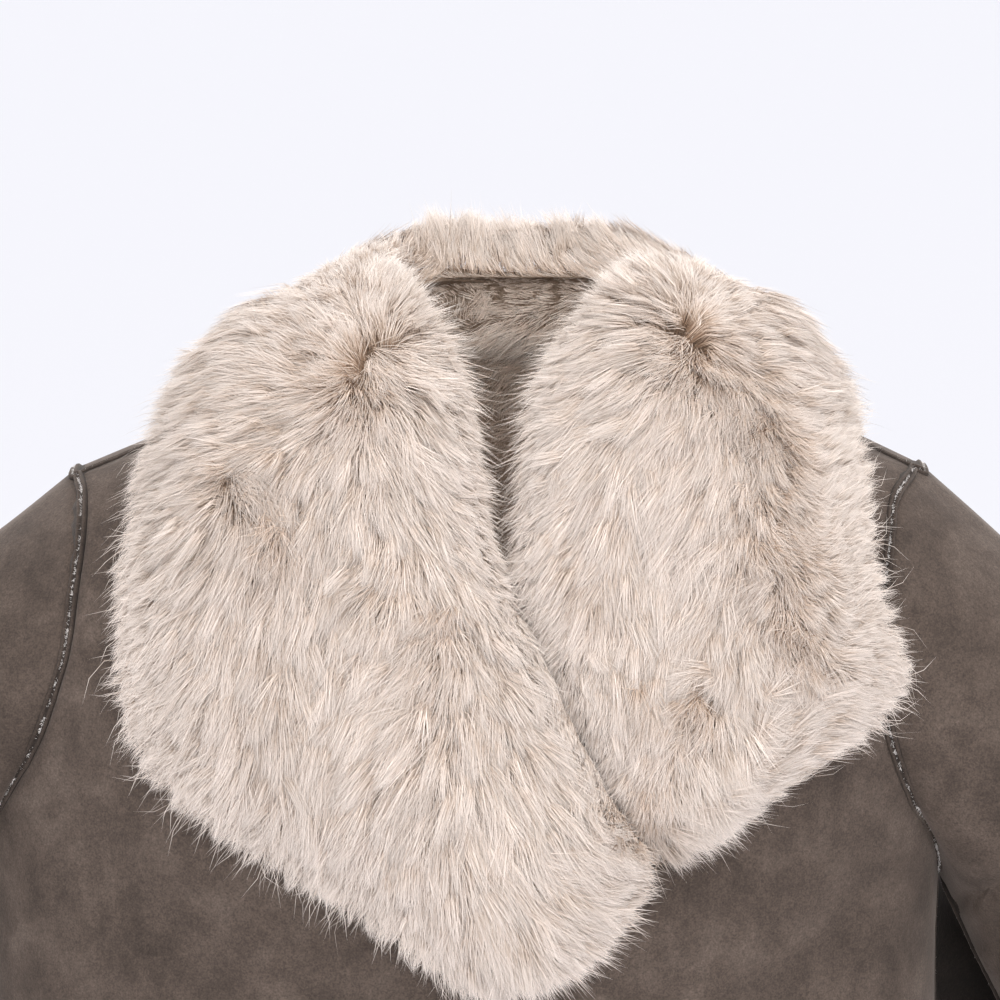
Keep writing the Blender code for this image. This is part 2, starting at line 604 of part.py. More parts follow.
def fur_piece(name, stretches, side):
    """One piece of fur through its stretches, closed at both ends."""
    rings = []
    for i in range((len(stretches) - 1) * FUR_SPLIT + 1):
        place = i / FUR_SPLIT
        k = min(int(place), len(stretches) - 2)
        rows = [{**stretches[j], "n": j} for j in range(max(k - 1, 0), min(k + 3, len(stretches)))]
        stretch = {column: between(rows, "n", place, column) for column in stretches[0]}
        rings.append(fur_ring(stretch, side))

    def build(piece):
        grid = [[piece.verts.new(point) for point in ring] for ring in rings]
        for low, high in zip(grid, grid[1:]):
            for i in range(len(low)):
                j = (i + 1) % len(low)
                piece.faces.new((low[i], low[j], high[j], high[i]))
        for ring in (grid[0], grid[-1]):
            close_end(piece, ring)

    return new_object(name, build, FUR_COLOUR, 1.0)


def close_end(piece, ring):
    """Closes an end ring with rungs from its top to its underside, so that two ends lie parallel."""
    under = [ring[0]] + ring[:FUR_STEPS:-1] + [ring[FUR_STEPS]]
    for i in range(FUR_STEPS):
        corners = [ring[i], ring[i + 1], under[i + 1], under[i]]
        piece.faces.new(list(dict.fromkeys(corners)))


def neck_fur():
    """The fur inside the back of the neck, just under the cloth, narrower at its top."""
    rows = []
    for i in range(NECK_FUR_ROWS + 1):
        share = i / NECK_FUR_ROWS
        half = NECK_FUR_HALF * (1 - NECK_FUR_NARROWING * (1 - ease(share, 0.0, 0.3)))
        row = []
        for j in range(NECK_FUR_COLUMNS + 1):
            x = NECK_X + half * (2 * j / NECK_FUR_COLUMNS - 1)
            low = turn_at(x, NECK_FUR_BOTTOM_Z, 1)
            turn = NECK_FUR_TOP + (low - NECK_FUR_TOP) * share
            row.append(cloth_point(x, turn) - cloth_normal(x, turn) * (WALL + NECK_FUR_GAP))
        rows.append(row)
    return cloth_panel("neck_fur", rows, thickness=NECK_FUR_PILE, colour=NECK_FUR_COLOUR)


def joined_to(stretches, other):
    """The stretches with one more at the end, just short of where the next piece starts."""
    last, next_one = stretches[-1], other[0]
    extra = {column: last[column] + (next_one[column] - last[column]) * FUR_JOIN_SHARE for column in last}
    return stretches + [extra]


def main():
    for item in list(bpy.context.scene.objects):
        bpy.data.objects.remove(item, do_unlink=True)
    bpy.context.scene.collection.children.link(bpy.data.collections.new("Coat"))
    back_panel()
    for side in (-1, 1):
        front_panel(side)
        sleeve(side)
    collar = collar_stretches()
    right = lapel_stretches(LAPEL_RIGHT)
    left = lapel_stretches(LAPEL_LEFT)
    fur_piece("lapel_right", joined_to(right, collar), -1)
    fur_piece("lapel_left", joined_to(left, collar[::-1]), 1)
    fur_piece("collar", collar, 1)
    neck_fur()


main()
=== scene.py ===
import math
import bpy
import numpy as np
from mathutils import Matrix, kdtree


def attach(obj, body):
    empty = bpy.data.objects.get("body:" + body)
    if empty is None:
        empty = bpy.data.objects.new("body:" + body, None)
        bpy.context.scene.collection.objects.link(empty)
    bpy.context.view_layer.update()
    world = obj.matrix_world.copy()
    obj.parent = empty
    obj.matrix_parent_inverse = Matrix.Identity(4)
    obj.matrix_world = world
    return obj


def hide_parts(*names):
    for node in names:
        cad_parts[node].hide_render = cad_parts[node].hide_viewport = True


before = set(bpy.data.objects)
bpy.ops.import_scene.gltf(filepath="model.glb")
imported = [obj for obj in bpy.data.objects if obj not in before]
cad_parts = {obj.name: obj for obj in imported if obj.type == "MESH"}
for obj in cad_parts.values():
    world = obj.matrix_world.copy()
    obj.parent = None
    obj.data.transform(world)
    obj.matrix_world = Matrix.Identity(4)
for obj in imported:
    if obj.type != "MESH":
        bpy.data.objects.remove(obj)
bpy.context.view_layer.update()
rng = np.random.default_rng(27)

# The coat's form, in metres. The front faces -Y, the wearer's right is at -X.
# A place on the body is x and a turn round the shoulder's ridge: -90 degrees on the front, 90 on the back.
bodyForm = {
    "neckX": 0.010, "neckHalf": 0.090, "neckTopZ": 0.039, "neckRise": (0.030, 0.100), "neckOpen": (0.062, 0.092),
    "slopes": (0.418, 0.478), "ridgeRadius": 0.09, "ridgeY": 0.005, "roundness": 2.3,
    "seamTurn": math.radians(-13), "seamGap": math.radians(0.9), "neckSeamTurn": math.radians(30),
    "hemZ": -0.735, "foldTop": -0.34, "foldDepth": 0.008, "foldWidth": 0.135, "foldStart": (0.4, 1.1),
    "foldFlat": (0.045, 0.110), "lapRise": 0.0055, "restGap": 0.001, "lapX": (-0.085, -0.035), "lapDrop": (0.03, 0.10),
    "shoulderX": {-1: -0.2165, 1: 0.2150}, "underarmZ": {-1: -0.243, 1: -0.264}, "frontNeckX": {-1: -0.080, 1: 0.100},
    "sweepRise": (0.10, 0.42), "sweepFall": (0.45, 1.00), "wall": 0.003, "sideGap": 0.0006,
    "sleeveGap": {-1: 0.0026, 1: 0.0008}, "normalStep": 0.02, "normalTurn": 0.25,
}
armholeForm = {
    "lowSteps": 5, "highSteps": 9, "rounds": 8, "corner": 0.2, "backTop": (math.radians(8), math.radians(38)),
}
backSweep = [  # z and how far the back sweeps out behind each side seam
    (-0.220, 0.000), (-0.252, 0.000), (-0.285, 0.027), (-0.325, 0.052),
    (-0.370, 0.064), (-0.450, 0.064), (-0.600, 0.052), (-0.740, 0.042),
]
bodyRings = [  # z, middle x, half width, depth in front, depth behind
    (0.06, 0.000, 0.262, 0.098, 0.098), (-0.06, -0.003, 0.262, 0.110, 0.104), (-0.15, -0.012, 0.256, 0.128, 0.116),
    (-0.25, -0.020, 0.246, 0.140, 0.124), (-0.35, -0.019, 0.243, 0.140, 0.128), (-0.50, -0.012, 0.250, 0.142, 0.135),
    (-0.62, -0.005, 0.262, 0.148, 0.144), (-0.74, 0.000, 0.275, 0.154, 0.152),
]
armholeRows = [  # z, x on the right and left front, x on the right and left of the back
    (-0.056, -0.2150, 0.2090, -0.2150, 0.2100), (-0.066, -0.2105, 0.1980, -0.2120, 0.2040),
    (-0.086, -0.2095, 0.1940, -0.2100, 0.1990), (-0.110, -0.2120, 0.1905, -0.2110, 0.1970),
    (-0.138, -0.2155, 0.1890, -0.2150, 0.1970), (-0.162, -0.2225, 0.1897, -0.2220, 0.1995),
    (-0.186, -0.2318, 0.1950, -0.2320, 0.2050), (-0.207, -0.2440, 0.2025, -0.2445, 0.2120),
    (-0.222, -0.2530, 0.2085, -0.2540, 0.2170),
]
frontEdgeRows = [  # z, x of the right front's edge and of the left one's
    (-0.735, 0.034, -0.034), (-0.290, 0.030, -0.030), (-0.235, 0.026, -0.020), (-0.170, 0.004, 0.006),
    (-0.105, -0.026, 0.036), (-0.060, -0.046, 0.060), (-0.020, -0.066, 0.084),
]


def ease(value, low, high):
    t = np.clip((np.asarray(value, float) - low) / (high - low), 0, 1)
    return t * t * (3 - 2 * t)


def hermite(start, startSlope, end, endSlope, t):
    return (start * (2 * t**3 - 3 * t**2 + 1) + startSlope * (t**3 - 2 * t**2 + t)
            + end * (3 * t**2 - 2 * t**3) + endSlope * (t**3 - t**2))


def between(rows, value, column):
    # a column at a value of the first column, on a smooth curve through the rows
    ordered = np.array(sorted(rows), float)
    keys, values = ordered[:, 0], ordered[:, column]
    value = np.clip(np.asarray(value, float), keys[0], keys[-1])
    low = np.clip(np.searchsorted(keys, value, side="right") - 1, 0, len(keys) - 2)
    before, after = np.maximum(low - 1, 0), np.minimum(low + 2, len(keys) - 1)
    step = keys[low + 1] - keys[low]
    start = (values[low + 1] - values[before]) / (keys[low + 1] - keys[before]) * step
    end = (values[after] - values[low]) / (keys[after] - keys[low]) * step
    return hermite(values[low], start, values[low + 1], end, (value - keys[low]) / step)


def unit(vectors):
    return vectors / np.maximum(np.linalg.norm(vectors, axis=-1, keepdims=True), 1e-9)


def dot(a, b):
    return (a * b).sum(axis=-1, keepdims=True)


def ridgeZ(x):
    away = np.asarray(x, float) - bodyForm["neckX"]
    right, left = bodyForm["slopes"]
    half = bodyForm["neckHalf"]
    shoulder = (half - abs(away)) * (right + (left - right) * ease(away, -half, half))
    return bodyForm["neckTopZ"] + (shoulder - bodyForm["neckTopZ"]) * ease(abs(away), *bodyForm["neckRise"])


def dropOf(turn):
    angle = abs(np.asarray(turn, float))
    over = np.cos(np.minimum(angle, math.pi / 2))
    return bodyForm["ridgeRadius"] * (1 - over + np.maximum(0, angle - math.pi / 2))


def turnAt(x, z, face):
    drop = np.maximum(0, ridgeZ(x) - z) / bodyForm["ridgeRadius"]
    return face * np.where(drop < 1, np.arccos(1 - np.minimum(drop, 1)), drop - 1 + math.pi / 2)


def clothPoint(x, turn):
    x, turn = np.broadcast_arrays(np.asarray(x, float), np.asarray(turn, float))
    front = turn < 0
    face = np.where(front, -1, 1)
    z = ridgeZ(x) - dropOf(turn)
    away = np.minimum(1, abs(x - between(bodyRings, z, 1)) / between(bodyRings, z, 2))
    roundOff = (1 - away ** bodyForm["roundness"]) ** (1 / bodyForm["roundness"])
    depth = np.where(front, between(bodyRings, z, 3), between(bodyRings, z, 4))
    opened = ease(-z, -bodyForm["foldTop"], -bodyForm["hemZ"])
    opened = opened * np.where(front, ease(abs(x), *bodyForm["foldFlat"]), 1)
    phase = np.where(front, *bodyForm["foldStart"])
    fold = bodyForm["foldDepth"] * opened * np.sin(x * 2 * math.pi / bodyForm["foldWidth"] + phase)
    depth = depth + fold * (1 - away**6)
    y = bodyForm["ridgeY"] + face * depth * roundOff * np.sin(np.minimum(abs(turn), math.pi / 2))
    sweep = ease(roundOff, *bodyForm["sweepRise"]) * (1 - ease(roundOff, *bodyForm["sweepFall"])) * ~front
    sweep = sweep * between(backSweep, z, 1) * np.where(x < between(bodyRings, z, 1), -1, 1)
    return np.stack([x + sweep, y, z], axis=-1)


def clothNormal(x, turn):
    step, turnStep = bodyForm["normalStep"], bodyForm["normalTurn"]
    alongX = clothPoint(x + step, turn) - clothPoint(x - step, turn)
    alongTurn = clothPoint(x, turn + turnStep) - clothPoint(x, turn - turnStep)
    normal = unit(np.cross(alongX, alongTurn))
    upright = abs(turn) < math.pi / 3
    wrong = np.where(upright, normal[..., 2] < 0, normal[..., 1] * turn < 0)
    return normal * np.where(wrong, -1, 1)[..., None]


def sideOf(z, side):
    return between(bodyRings, z, 1) + side * between(bodyRings, z, 2)


def around(x, z):
    share = np.clip((x - between(bodyRings, z, 1)) / between(bodyRings, z, 2), -1, 1)
    return np.arccos(-np.sign(share) * abs(share) ** (bodyForm["roundness"] / 2))


def xAround(angle, z):
    share = -np.sign(np.cos(angle)) * abs(np.cos(angle)) ** (2 / bodyForm["roundness"])
    return between(bodyRings, z, 1) + share * between(bodyRings, z, 2)


def rowPoints(startX, startTurn, endX, endTurn, face, t, level):
    # points between two places of a row: level 0 keeps the height, level 1 keeps the turn
    startZ, endZ = ridgeZ(startX) - dropOf(startTurn), ridgeZ(endX) - dropOf(endTurn)
    angle = around(startX, startZ) * (1 - t) + around(endX, endZ) * t
    turn = startTurn * (1 - t) + endTurn * t
    flatZ = startZ * (1 - t) + endZ * t
    z = flatZ
    for _ in range(4):
        x = xAround(angle, z)
        z = flatZ * (1 - level) + (ridgeZ(x) - dropOf(turn)) * level
    return clothPoint(x, turnAt(x, z, face))


def armhole(side, face, detail):
    # x and turn along an armhole, from the underarm up to the shoulder seam
    low, shoulderX = bodyForm["underarmZ"][side], bodyForm["shoulderX"][side]
    bottom = float(turnAt(sideOf(low, side), low, face))
    bend, seam = face * math.pi / 2, bodyForm["seamTurn"]
    below, above = armholeForm["lowSteps"] * detail + 1, armholeForm["highSteps"] * detail + 1
    turns = np.concatenate([np.linspace(bottom, bend, below)[:-1], np.linspace(bend, seam, above)])
    x = np.full(len(turns), shoulderX)
    column = (1 if side < 0 else 2) + (2 if face > 0 else 0)
    last = armholeRows[-1][0]
    for _ in range(armholeForm["rounds"]):
        z = ridgeZ(x) - dropOf(turns)
        edge = between(armholeRows, z, column)
        share = np.clip((last - z) / (last - low), 0, 1)
        edge = edge + (sideOf(low, side) - edge) * (1 - (1 - share) ** 2) ** 0.5 * share ** armholeForm["corner"]
        x = 0.5 * x + 0.5 * edge
    if face > 0:
        x = x + (shoulderX - x) * (1 - ease(turns, *armholeForm["backTop"]))
    x[0], x[-1] = sideOf(low, side), shoulderX
    return x, turns


# Meshes and materials
def meshObject(name, points, faces, material, smooth=True):
    # faces is an array of triangles or of quads
    mesh = bpy.data.meshes.new(name)
    points, faces = np.asarray(points, np.float32), np.asarray(faces, np.int32)
    corners = faces.shape[1]
    mesh.vertices.add(len(points))
    mesh.vertices.foreach_set("co", points.ravel())
    mesh.loops.add(faces.size)
    mesh.loops.foreach_set("vertex_index", faces.ravel())
    mesh.polygons.add(len(faces))
    mesh.polygons.foreach_set("loop_start", np.arange(0, faces.size, corners, dtype=np.int32))
    mesh.update(calc_edges=True)
    mesh.validate()
    if smooth:
        mesh.shade_smooth()
    mesh.materials.append(material)
    item = bpy.data.objects.new(name, mesh)
    bpy.context.scene.collection.objects.link(item)
    return item


def gridFaces(rows, columns, closed=False):
    index = np.arange(rows * columns).reshape(rows, columns)
    right = np.roll(index, -1, axis=1) if closed else index[:, 1:]
    left = index if closed else index[:, :-1]
    return np.stack([left[:-1], right[:-1], right[1:], left[1:]], axis=-1).reshape(-1, 4)


def gridNormals(grid, closed=False):
    if closed:
        wide = np.concatenate([grid[:, -1:], grid, grid[:, :1]], axis=1)
        across = (wide[:, 2:] - wide[:, :-2]) / 2
    else:
        across = np.gradient(grid, axis=1)
    return unit(np.cross(across, np.gradient(grid, axis=0)))


def finer(grid, times):
    # more rows on smooth curves through the rows that are there
    rows = len(grid)
    places = np.linspace(0, rows - 1, (rows - 1) * times + 1)
    low = np.minimum(places.astype(int), rows - 2)
    t = (places - low)[:, None, None]
    before, after = np.maximum(low - 1, 0), np.minimum(low + 2, rows - 1)
    start = (grid[low + 1] - grid[before]) / (low + 1 - before)[:, None, None]
    end = (grid[after] - grid[low]) / (after - low)[:, None, None]
    return hermite(grid[low], start, grid[low + 1], end, t)


class Nodes:
    # a short way to lay out a material's nodes
    def __init__(self, name):
        self.material = bpy.data.materials.new(name)
        self.material.use_nodes = True
        self.tree = self.material.node_tree
        self.shader = self.tree.nodes["Principled BSDF"]

    def add(self, kind, values=None, **settings):
        node = self.tree.nodes.new(kind)
        for key, value in settings.items():
            setattr(node, key, value)
        for key, value in (values or {}).items():
            self.join(value, node.inputs[key])
        return node

    def join(self, value, socket):
        if isinstance(value, bpy.types.NodeSocket):
            self.tree.links.new(value, socket)
        else:
            socket.default_value = value

    def noise(self, place, scale, detail, roughness, distortion=0.0):
        values = {"Vector": place, "Scale": scale, "Detail": detail, "Roughness": roughness, "Distortion": distortion}
        return self.add("ShaderNodeTexNoise", values).outputs["Fac"]

    def ramp(self, factor, stops):
        node = self.add("ShaderNodeValToRGB", {"Fac": factor})
        for i, (place, colour) in enumerate(stops):
            stop = node.color_ramp.elements[i] if i < 2 else node.color_ramp.elements.new(place)
            stop.position, stop.color = place, (*colour, 1)
        return node.outputs["Color"]

    def mix(self, factor, a, b, blend="MIX"):
        node = self.add("ShaderNodeMix", data_type="RGBA", blend_type=blend)
        for value, socket in ((factor, node.inputs[0]), (a, node.inputs[6]), (b, node.inputs[7])):
            self.join((*value, 1) if isinstance(value, tuple) else value, socket)
        return node.outputs[2]

    def math(self, operation, a, b=0.0):
        return self.add("ShaderNodeMath", {0: a, 1: b}, operation=operation).outputs[0]

    def bump(self, height, distance, strength, **over):
        values = {"Height": height, "Distance": distance, "Strength": strength, **over}
        return self.add("ShaderNodeBump", values).outputs["Normal"]

    def shaded(self, colour, stops):
        # the colour multiplied by tones: stops hold a factor and pairs of place and tone
        factor, tones = stops
        return self.mix(1.0, colour, self.ramp(factor, tones), "MULTIPLY")

    def finish(self, values):
        for key, value in values.items():
            self.join(value, self.shader.inputs[key])
        return self.material


suedeLook = {  # noises are scale, detail, roughness and distortion; bumps are distance and strength
    "colours": ((0.34, (0.048, 0.0350, 0.0280)), (0.68, (0.115, 0.0880, 0.0720)), (0.50, (0.0757, 0.0560, 0.0450))),
    "patches": (26, 3, 0.55, 0.4), "clouds": (75, 4, 0.6, 0.2), "patchShare": 0.62, "cloudShare": 0.38,
    "nap": (420, 3, 0.6), "napTones": ((0.25, (0.79, 0.79, 0.79)), (0.75, (1.20, 1.19, 1.18))),
    "grain": (1050, 2, 0.6), "grainTones": ((0.28, (0.66, 0.66, 0.66)), (0.72, (1.34, 1.33, 1.32))),
    "napBump": (0.0006, 0.5), "grainBump": (0.00025, 0.6),
    # painted shade: how dark the fold attribute makes the suede, deep in folds and beside the seams
    "foldShadeTones": ((0.0, (1, 1, 1)), (1.0, (0.16, 0.16, 0.16))),
    "smoothest": 0.76, "roughest": 0.94,
    "shader": {
        "Specular IOR Level": 0.25, "Sheen Weight": 0.22, "Sheen Roughness": 0.45, "Sheen Tint": (0.72, 0.62, 0.55, 1),
    },
}


def suedeMaterial(name, shade):
    look = suedeLook
    n = Nodes(name)
    place = n.add("ShaderNodeTexCoord").outputs["Object"]
    patches, clouds, nap, grain = (n.noise(place, *look[key]) for key in ("patches", "clouds", "nap", "grain"))
    mottle = [n.math("MULTIPLY", value, look[key]) for value, key in ((patches, "patchShare"), (clouds, "cloudShare"))]
    # the fold attribute is painted shade, in the back's side folds under the arms and where the seams' lips meet the
    # cloth
    fold = n.add("ShaderNodeAttribute", attribute_name="fold").outputs["Fac"]
    shades = [(stop, tuple(shade * value for value in colour)) for stop, colour in look["colours"]]
    colour = n.ramp(n.math("ADD", *mottle), shades)
    for factor, key in ((nap, "napTones"), (grain, "grainTones"), (fold, "foldShadeTones")):
        colour = n.shaded(colour, (factor, look[key]))
    rough = n.add("ShaderNodeMapRange", {"Value": clouds, "To Min": look["smoothest"], "To Max": look["roughest"]})
    low = n.bump(nap, *look["napBump"])
    normal = n.bump(grain, *look["grainBump"], Normal=low)
    surface = {"Base Color": colour, "Roughness": rough.outputs[0], "Normal": normal}
    return n.finish({**surface, **look["shader"]})


fleeceLook = {
    "curls": (190, 4, 0.62, 0.8), "colours": ((0.30, (0.20, 0.135, 0.095)), (0.66, (0.50, 0.40, 0.31))),
    "broad": (30, 2, 0.5), "broadTones": ((0.3, (0.86, 0.86, 0.86)), (0.7, (1.1, 1.1, 1.1))), "bump": (0.004, 0.8),
    "shader": {"Roughness": 0.95, "Specular IOR Level": 0.1, "Sheen Weight": 0.15},
}


def fleeceMaterial():
    look = fleeceLook
    n = Nodes("innerFleece")
    place = n.add("ShaderNodeTexCoord").outputs["Object"]
    curls, broad = n.noise(place, *look["curls"]), n.noise(place, *look["broad"])
    colour = n.shaded(n.ramp(curls, look["colours"]), (broad, look["broadTones"]))
    return n.finish({"Base Color": colour, "Normal": n.bump(curls, *look["bump"]), **look["shader"]})


suede, fleece = suedeMaterial("brushedSuede", 1.0), fleeceMaterial()

# Soft creases: troughs (below 0) and ridges (above 0), uneven in length and depth
bodyCreases = [  # face, x and z of one end, x and z of the other, width, height
    (-1, -0.205, -0.215, -0.120, -0.330, 0.026, -0.0035), (-1, -0.215, -0.300, -0.150, -0.500, 0.030, 0.0030),
    (-1, -0.100, -0.360, -0.125, -0.600, 0.034, -0.0040), (-1, -0.180, -0.420, -0.205, -0.690, 0.028, -0.0035),
    (-1, -0.040, -0.470, -0.055, -0.700, 0.026, 0.0030), (-1, 0.190, -0.235, 0.120, -0.345, 0.026, -0.0040),
    (-1, 0.205, -0.300, 0.150, -0.520, 0.030, 0.0035), (-1, 0.095, -0.330, 0.120, -0.610, 0.032, -0.0040),
    (-1, 0.185, -0.430, 0.210, -0.700, 0.028, -0.0040), (-1, 0.060, -0.480, 0.075, -0.690, 0.024, 0.0025),
    (-1, -0.150, -0.345, -0.020, -0.365, 0.018, -0.0022), (-1, 0.170, -0.365, 0.060, -0.350, 0.018, -0.0022),
    (1, -0.190, -0.180, -0.080, -0.250, 0.030, -0.0040), (1, 0.170, -0.190, 0.070, -0.265, 0.030, -0.0040),
    (1, -0.060, -0.210, -0.075, -0.420, 0.034, 0.0035), (1, 0.055, -0.230, 0.080, -0.450, 0.034, 0.0040),
    (1, -0.160, -0.330, -0.180, -0.600, 0.032, -0.0045), (1, 0.150, -0.340, 0.175, -0.620, 0.032, -0.0045),
    (1, 0.000, -0.400, -0.010, -0.680, 0.032, -0.0045), (1, -0.090, -0.500, -0.105, -0.710, 0.026, 0.0035),
    (1, 0.100, -0.480, 0.115, -0.700, 0.026, 0.0035), (1, -0.170, -0.300, -0.030, -0.320, 0.020, -0.0030),
    (1, 0.160, -0.325, 0.040, -0.300, 0.020, -0.0030), (1, -0.120, -0.345, 0.050, -0.352, 0.016, 0.0020),
]
sleeveCreases = [  # share round (0 inner side, .25 front, .5 outer side) and down, of both ends, width, height
    (0.04, 0.16, 0.20, 0.34, 0.034, -0.0055), (0.97, 0.18, 0.84, 0.36, 0.034, -0.0050),
    (0.08, 0.30, 0.26, 0.46, 0.030, -0.0040), (0.93, 0.32, 0.78, 0.47, 0.030, -0.0040),
    (0.02, 0.42, 0.18, 0.52, 0.022, 0.0035), (0.97, 0.45, 0.82, 0.55, 0.022, 0.0030),
    (0.02, 0.53, 0.22, 0.60, 0.022, -0.0045), (0.96, 0.56, 0.80, 0.62, 0.022, -0.0040),
    (0.30, 0.20, 0.36, 0.55, 0.030, -0.0025), (0.55, 0.22, 0.60, 0.50, 0.032, 0.0025),
    (0.40, 0.50, 0.58, 0.62, 0.026, -0.0025), (0.10, 0.66, 0.30, 0.74, 0.024, -0.0030),
    (0.88, 0.68, 0.68, 0.76, 0.024, -0.0030), (0.20, 0.78, 0.44, 0.84, 0.022, 0.0022),
    (0.70, 0.80, 0.52, 0.88, 0.022, -0.0022),
]


creaseForm = {
    "bend": 0.35, "waves": 4, "phase": 90, "narrow": 2.2, "start": (-0.15, 0.30), "end": (0.65, 1.15),
    "side": (0, 0.10), "otherSide": (0.90, 1), "top": (0.84, 1.0),
    "sleeveTop": (0.02, 0.16), "cuff": (0.93, 1.0), "cuffShare": 0.6,
}


def creaseHeight(a, b, rows):
    # how far the creases lift a place (a, b), in a flat sheet's own metres
    form = creaseForm
    total = np.zeros(np.shape(a))
    for a0, b0, a1, b1, width, height in rows:
        alongA, alongB = a1 - a0, b1 - b0
        length = math.hypot(alongA, alongB)
        share = ((a - a0) * alongA + (b - b0) * alongB) / length**2
        off = ((a - a0) * alongB - (b - b0) * alongA) / length
        bend = form["bend"] * width * np.sin(share * form["waves"] + a0 * form["phase"])
        across = np.exp(-(((off - bend) / width) ** 2) * form["narrow"])
        total += height * across * ease(share, *form["start"]) * (1 - ease(share, *form["end"]))
    return total


def worn(item, slotName, *nodes):
    # nothing on the coat moves, so every piece rides on its one body
    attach(item, "root")
    if nodes:
        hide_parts(*nodes)
    return item


def setValues(item, key, values):
    layer = item.data.attributes.new(key, "FLOAT", "POINT")
    layer.data.foreach_set("value", np.asarray(values, np.float32).ravel())


def shell(name, grid, node, closed=False, thickness=bodyForm["wall"], fold=None):
    # a thin cloth wall, suede outside and fleece inside, with painted shade deep in a fold
    rows, columns = grid.shape[:2]
    normals = gridNormals(grid, closed)
    count = rows * columns
    inner = grid - normals * thickness
    faces = gridFaces(rows, columns, closed)
    edge = []
    index = np.arange(count).reshape(rows, columns)
    if closed:
        loops = [np.append(index[0], index[0][0]), np.append(index[-1], index[-1][0])[::-1]]
    else:
        loops = [index[0], index[-1][::-1], index[::-1, 0], index[:, -1]]
    for loop in loops:
        edge.append(np.stack([loop[1:], loop[:-1], loop[:-1] + count, loop[1:] + count], axis=-1))
    everything = np.concatenate([faces, faces[:, ::-1] + count] + edge)
    item = meshObject(name, np.concatenate([grid.reshape(-1, 3), inner.reshape(-1, 3)]), everything, suede)
    item.data.materials.append(fleece)
    slots = np.zeros(len(everything), np.int32)
    slots[len(faces):2 * len(faces)] = 1
    item.data.polygons.foreach_set("material_index", slots)
    # painted shade, on the suede and the fleece side alike
    if fold is not None:
        setValues(item, "fold", np.tile(fold.ravel(), 2))
    worn(item, "suede", node)


def outward(grid):
    # 1 where a body panel's normals point away from its middle, -1 where they point in
    centre = np.array([grid[..., 0].mean(), bodyForm["ridgeY"], 0])
    away = (grid - centre) * [1, 1, 0]
    return 1 if dot(gridNormals(grid), away).sum() > 0 else -1


sideNames = {-1: "Right", 1: "Left"}
panelDetail = {"rows": 2, "finer": 2, "frontColumns": 34, "backColumns": 72, "sideSteps": 9}


def creased(grid, face, bothEdges):
    # lifts a body panel by its creases, and leaves its seams where they are
    heights = creaseHeight(grid[..., 0], grid[..., 2], [row[1:] for row in bodyCreases if row[0] == face])
    columns = np.linspace(0, 1, grid.shape[1])[None]
    rows = np.linspace(0, 1, grid.shape[0])[:, None]
    form = creaseForm
    hold = ease(columns, *form["side"]) * (1 - ease(columns, *form["otherSide"]) * bothEdges)
    hold = hold * (1 - ease(rows, *form["top"]))
    return grid + outward(grid) * gridNormals(grid) * (heights * hold)[..., None]


def frontPanel(side):
    detail = panelDetail["rows"]
    steps = panelDetail["sideSteps"] * detail
    low = bodyForm["underarmZ"][side]
    neckX, neckTurn = bodyForm["frontNeckX"][side], bodyForm["seamTurn"] - bodyForm["seamGap"]
    neckZ = float(ridgeZ(neckX) - dropOf(neckTurn))
    heights = bodyForm["hemZ"] + (low - bodyForm["hemZ"]) * np.arange(steps) / steps
    sides = sideOf(heights, side)
    holeX, holeTurn = armhole(side, -1, detail)
    holeTurn[-1] = neckTurn
    outerX, outerTurn = np.append(sides, holeX), np.append(turnAt(sides, heights, -1), holeTurn)
    rows = len(outerX)
    index = np.arange(rows)
    outerZ = ridgeZ(outerX) - dropOf(outerTurn)
    innerZ = np.where(index <= steps, outerZ, low + (neckZ - low) * np.maximum(0, index - steps) / (rows - 1 - steps))
    innerX = between(frontEdgeRows, innerZ, 1 if side < 0 else 2)
    innerTurn = turnAt(innerX, innerZ, -1)
    innerX[-1], innerTurn[-1] = neckX, neckTurn
    level = ease(index, steps - 2 * detail, rows - 1 - 4 * detail)[:, None]
    t = np.linspace(0, 1, panelDetail["frontColumns"] + 1)[None]
    grid = rowPoints(outerX[:, None], outerTurn[:, None], innerX[:, None], innerTurn[:, None], -1, t, level)
    if side < 0:
        under = ease(grid[..., 0], *bodyForm["lapX"]) * ease(-grid[..., 2], *bodyForm["lapDrop"])
        grid[..., 1] -= bodyForm["lapRise"] * under
    grid[index <= steps, 0, 1] = bodyForm["ridgeY"] - bodyForm["sideGap"]
    grid[index >= steps, 0, 0] -= side * bodyForm["sleeveGap"][side]
    grid = creased(finer(grid, panelDetail["finer"]), -1, False)
    grid = grid if outward(grid) > 0 else grid[:, ::-1]
    shell("front" + sideNames[side], grid, "front_" + sideNames[side].lower())


# painted shade in the back's side folds: which way the cloth faces, how much is left at the hem, and the heights where
# it fades in
paintedSideShade = {"facing": (0.05, 0.55), "hem": 0.3, "z": (-0.64, -0.44)}


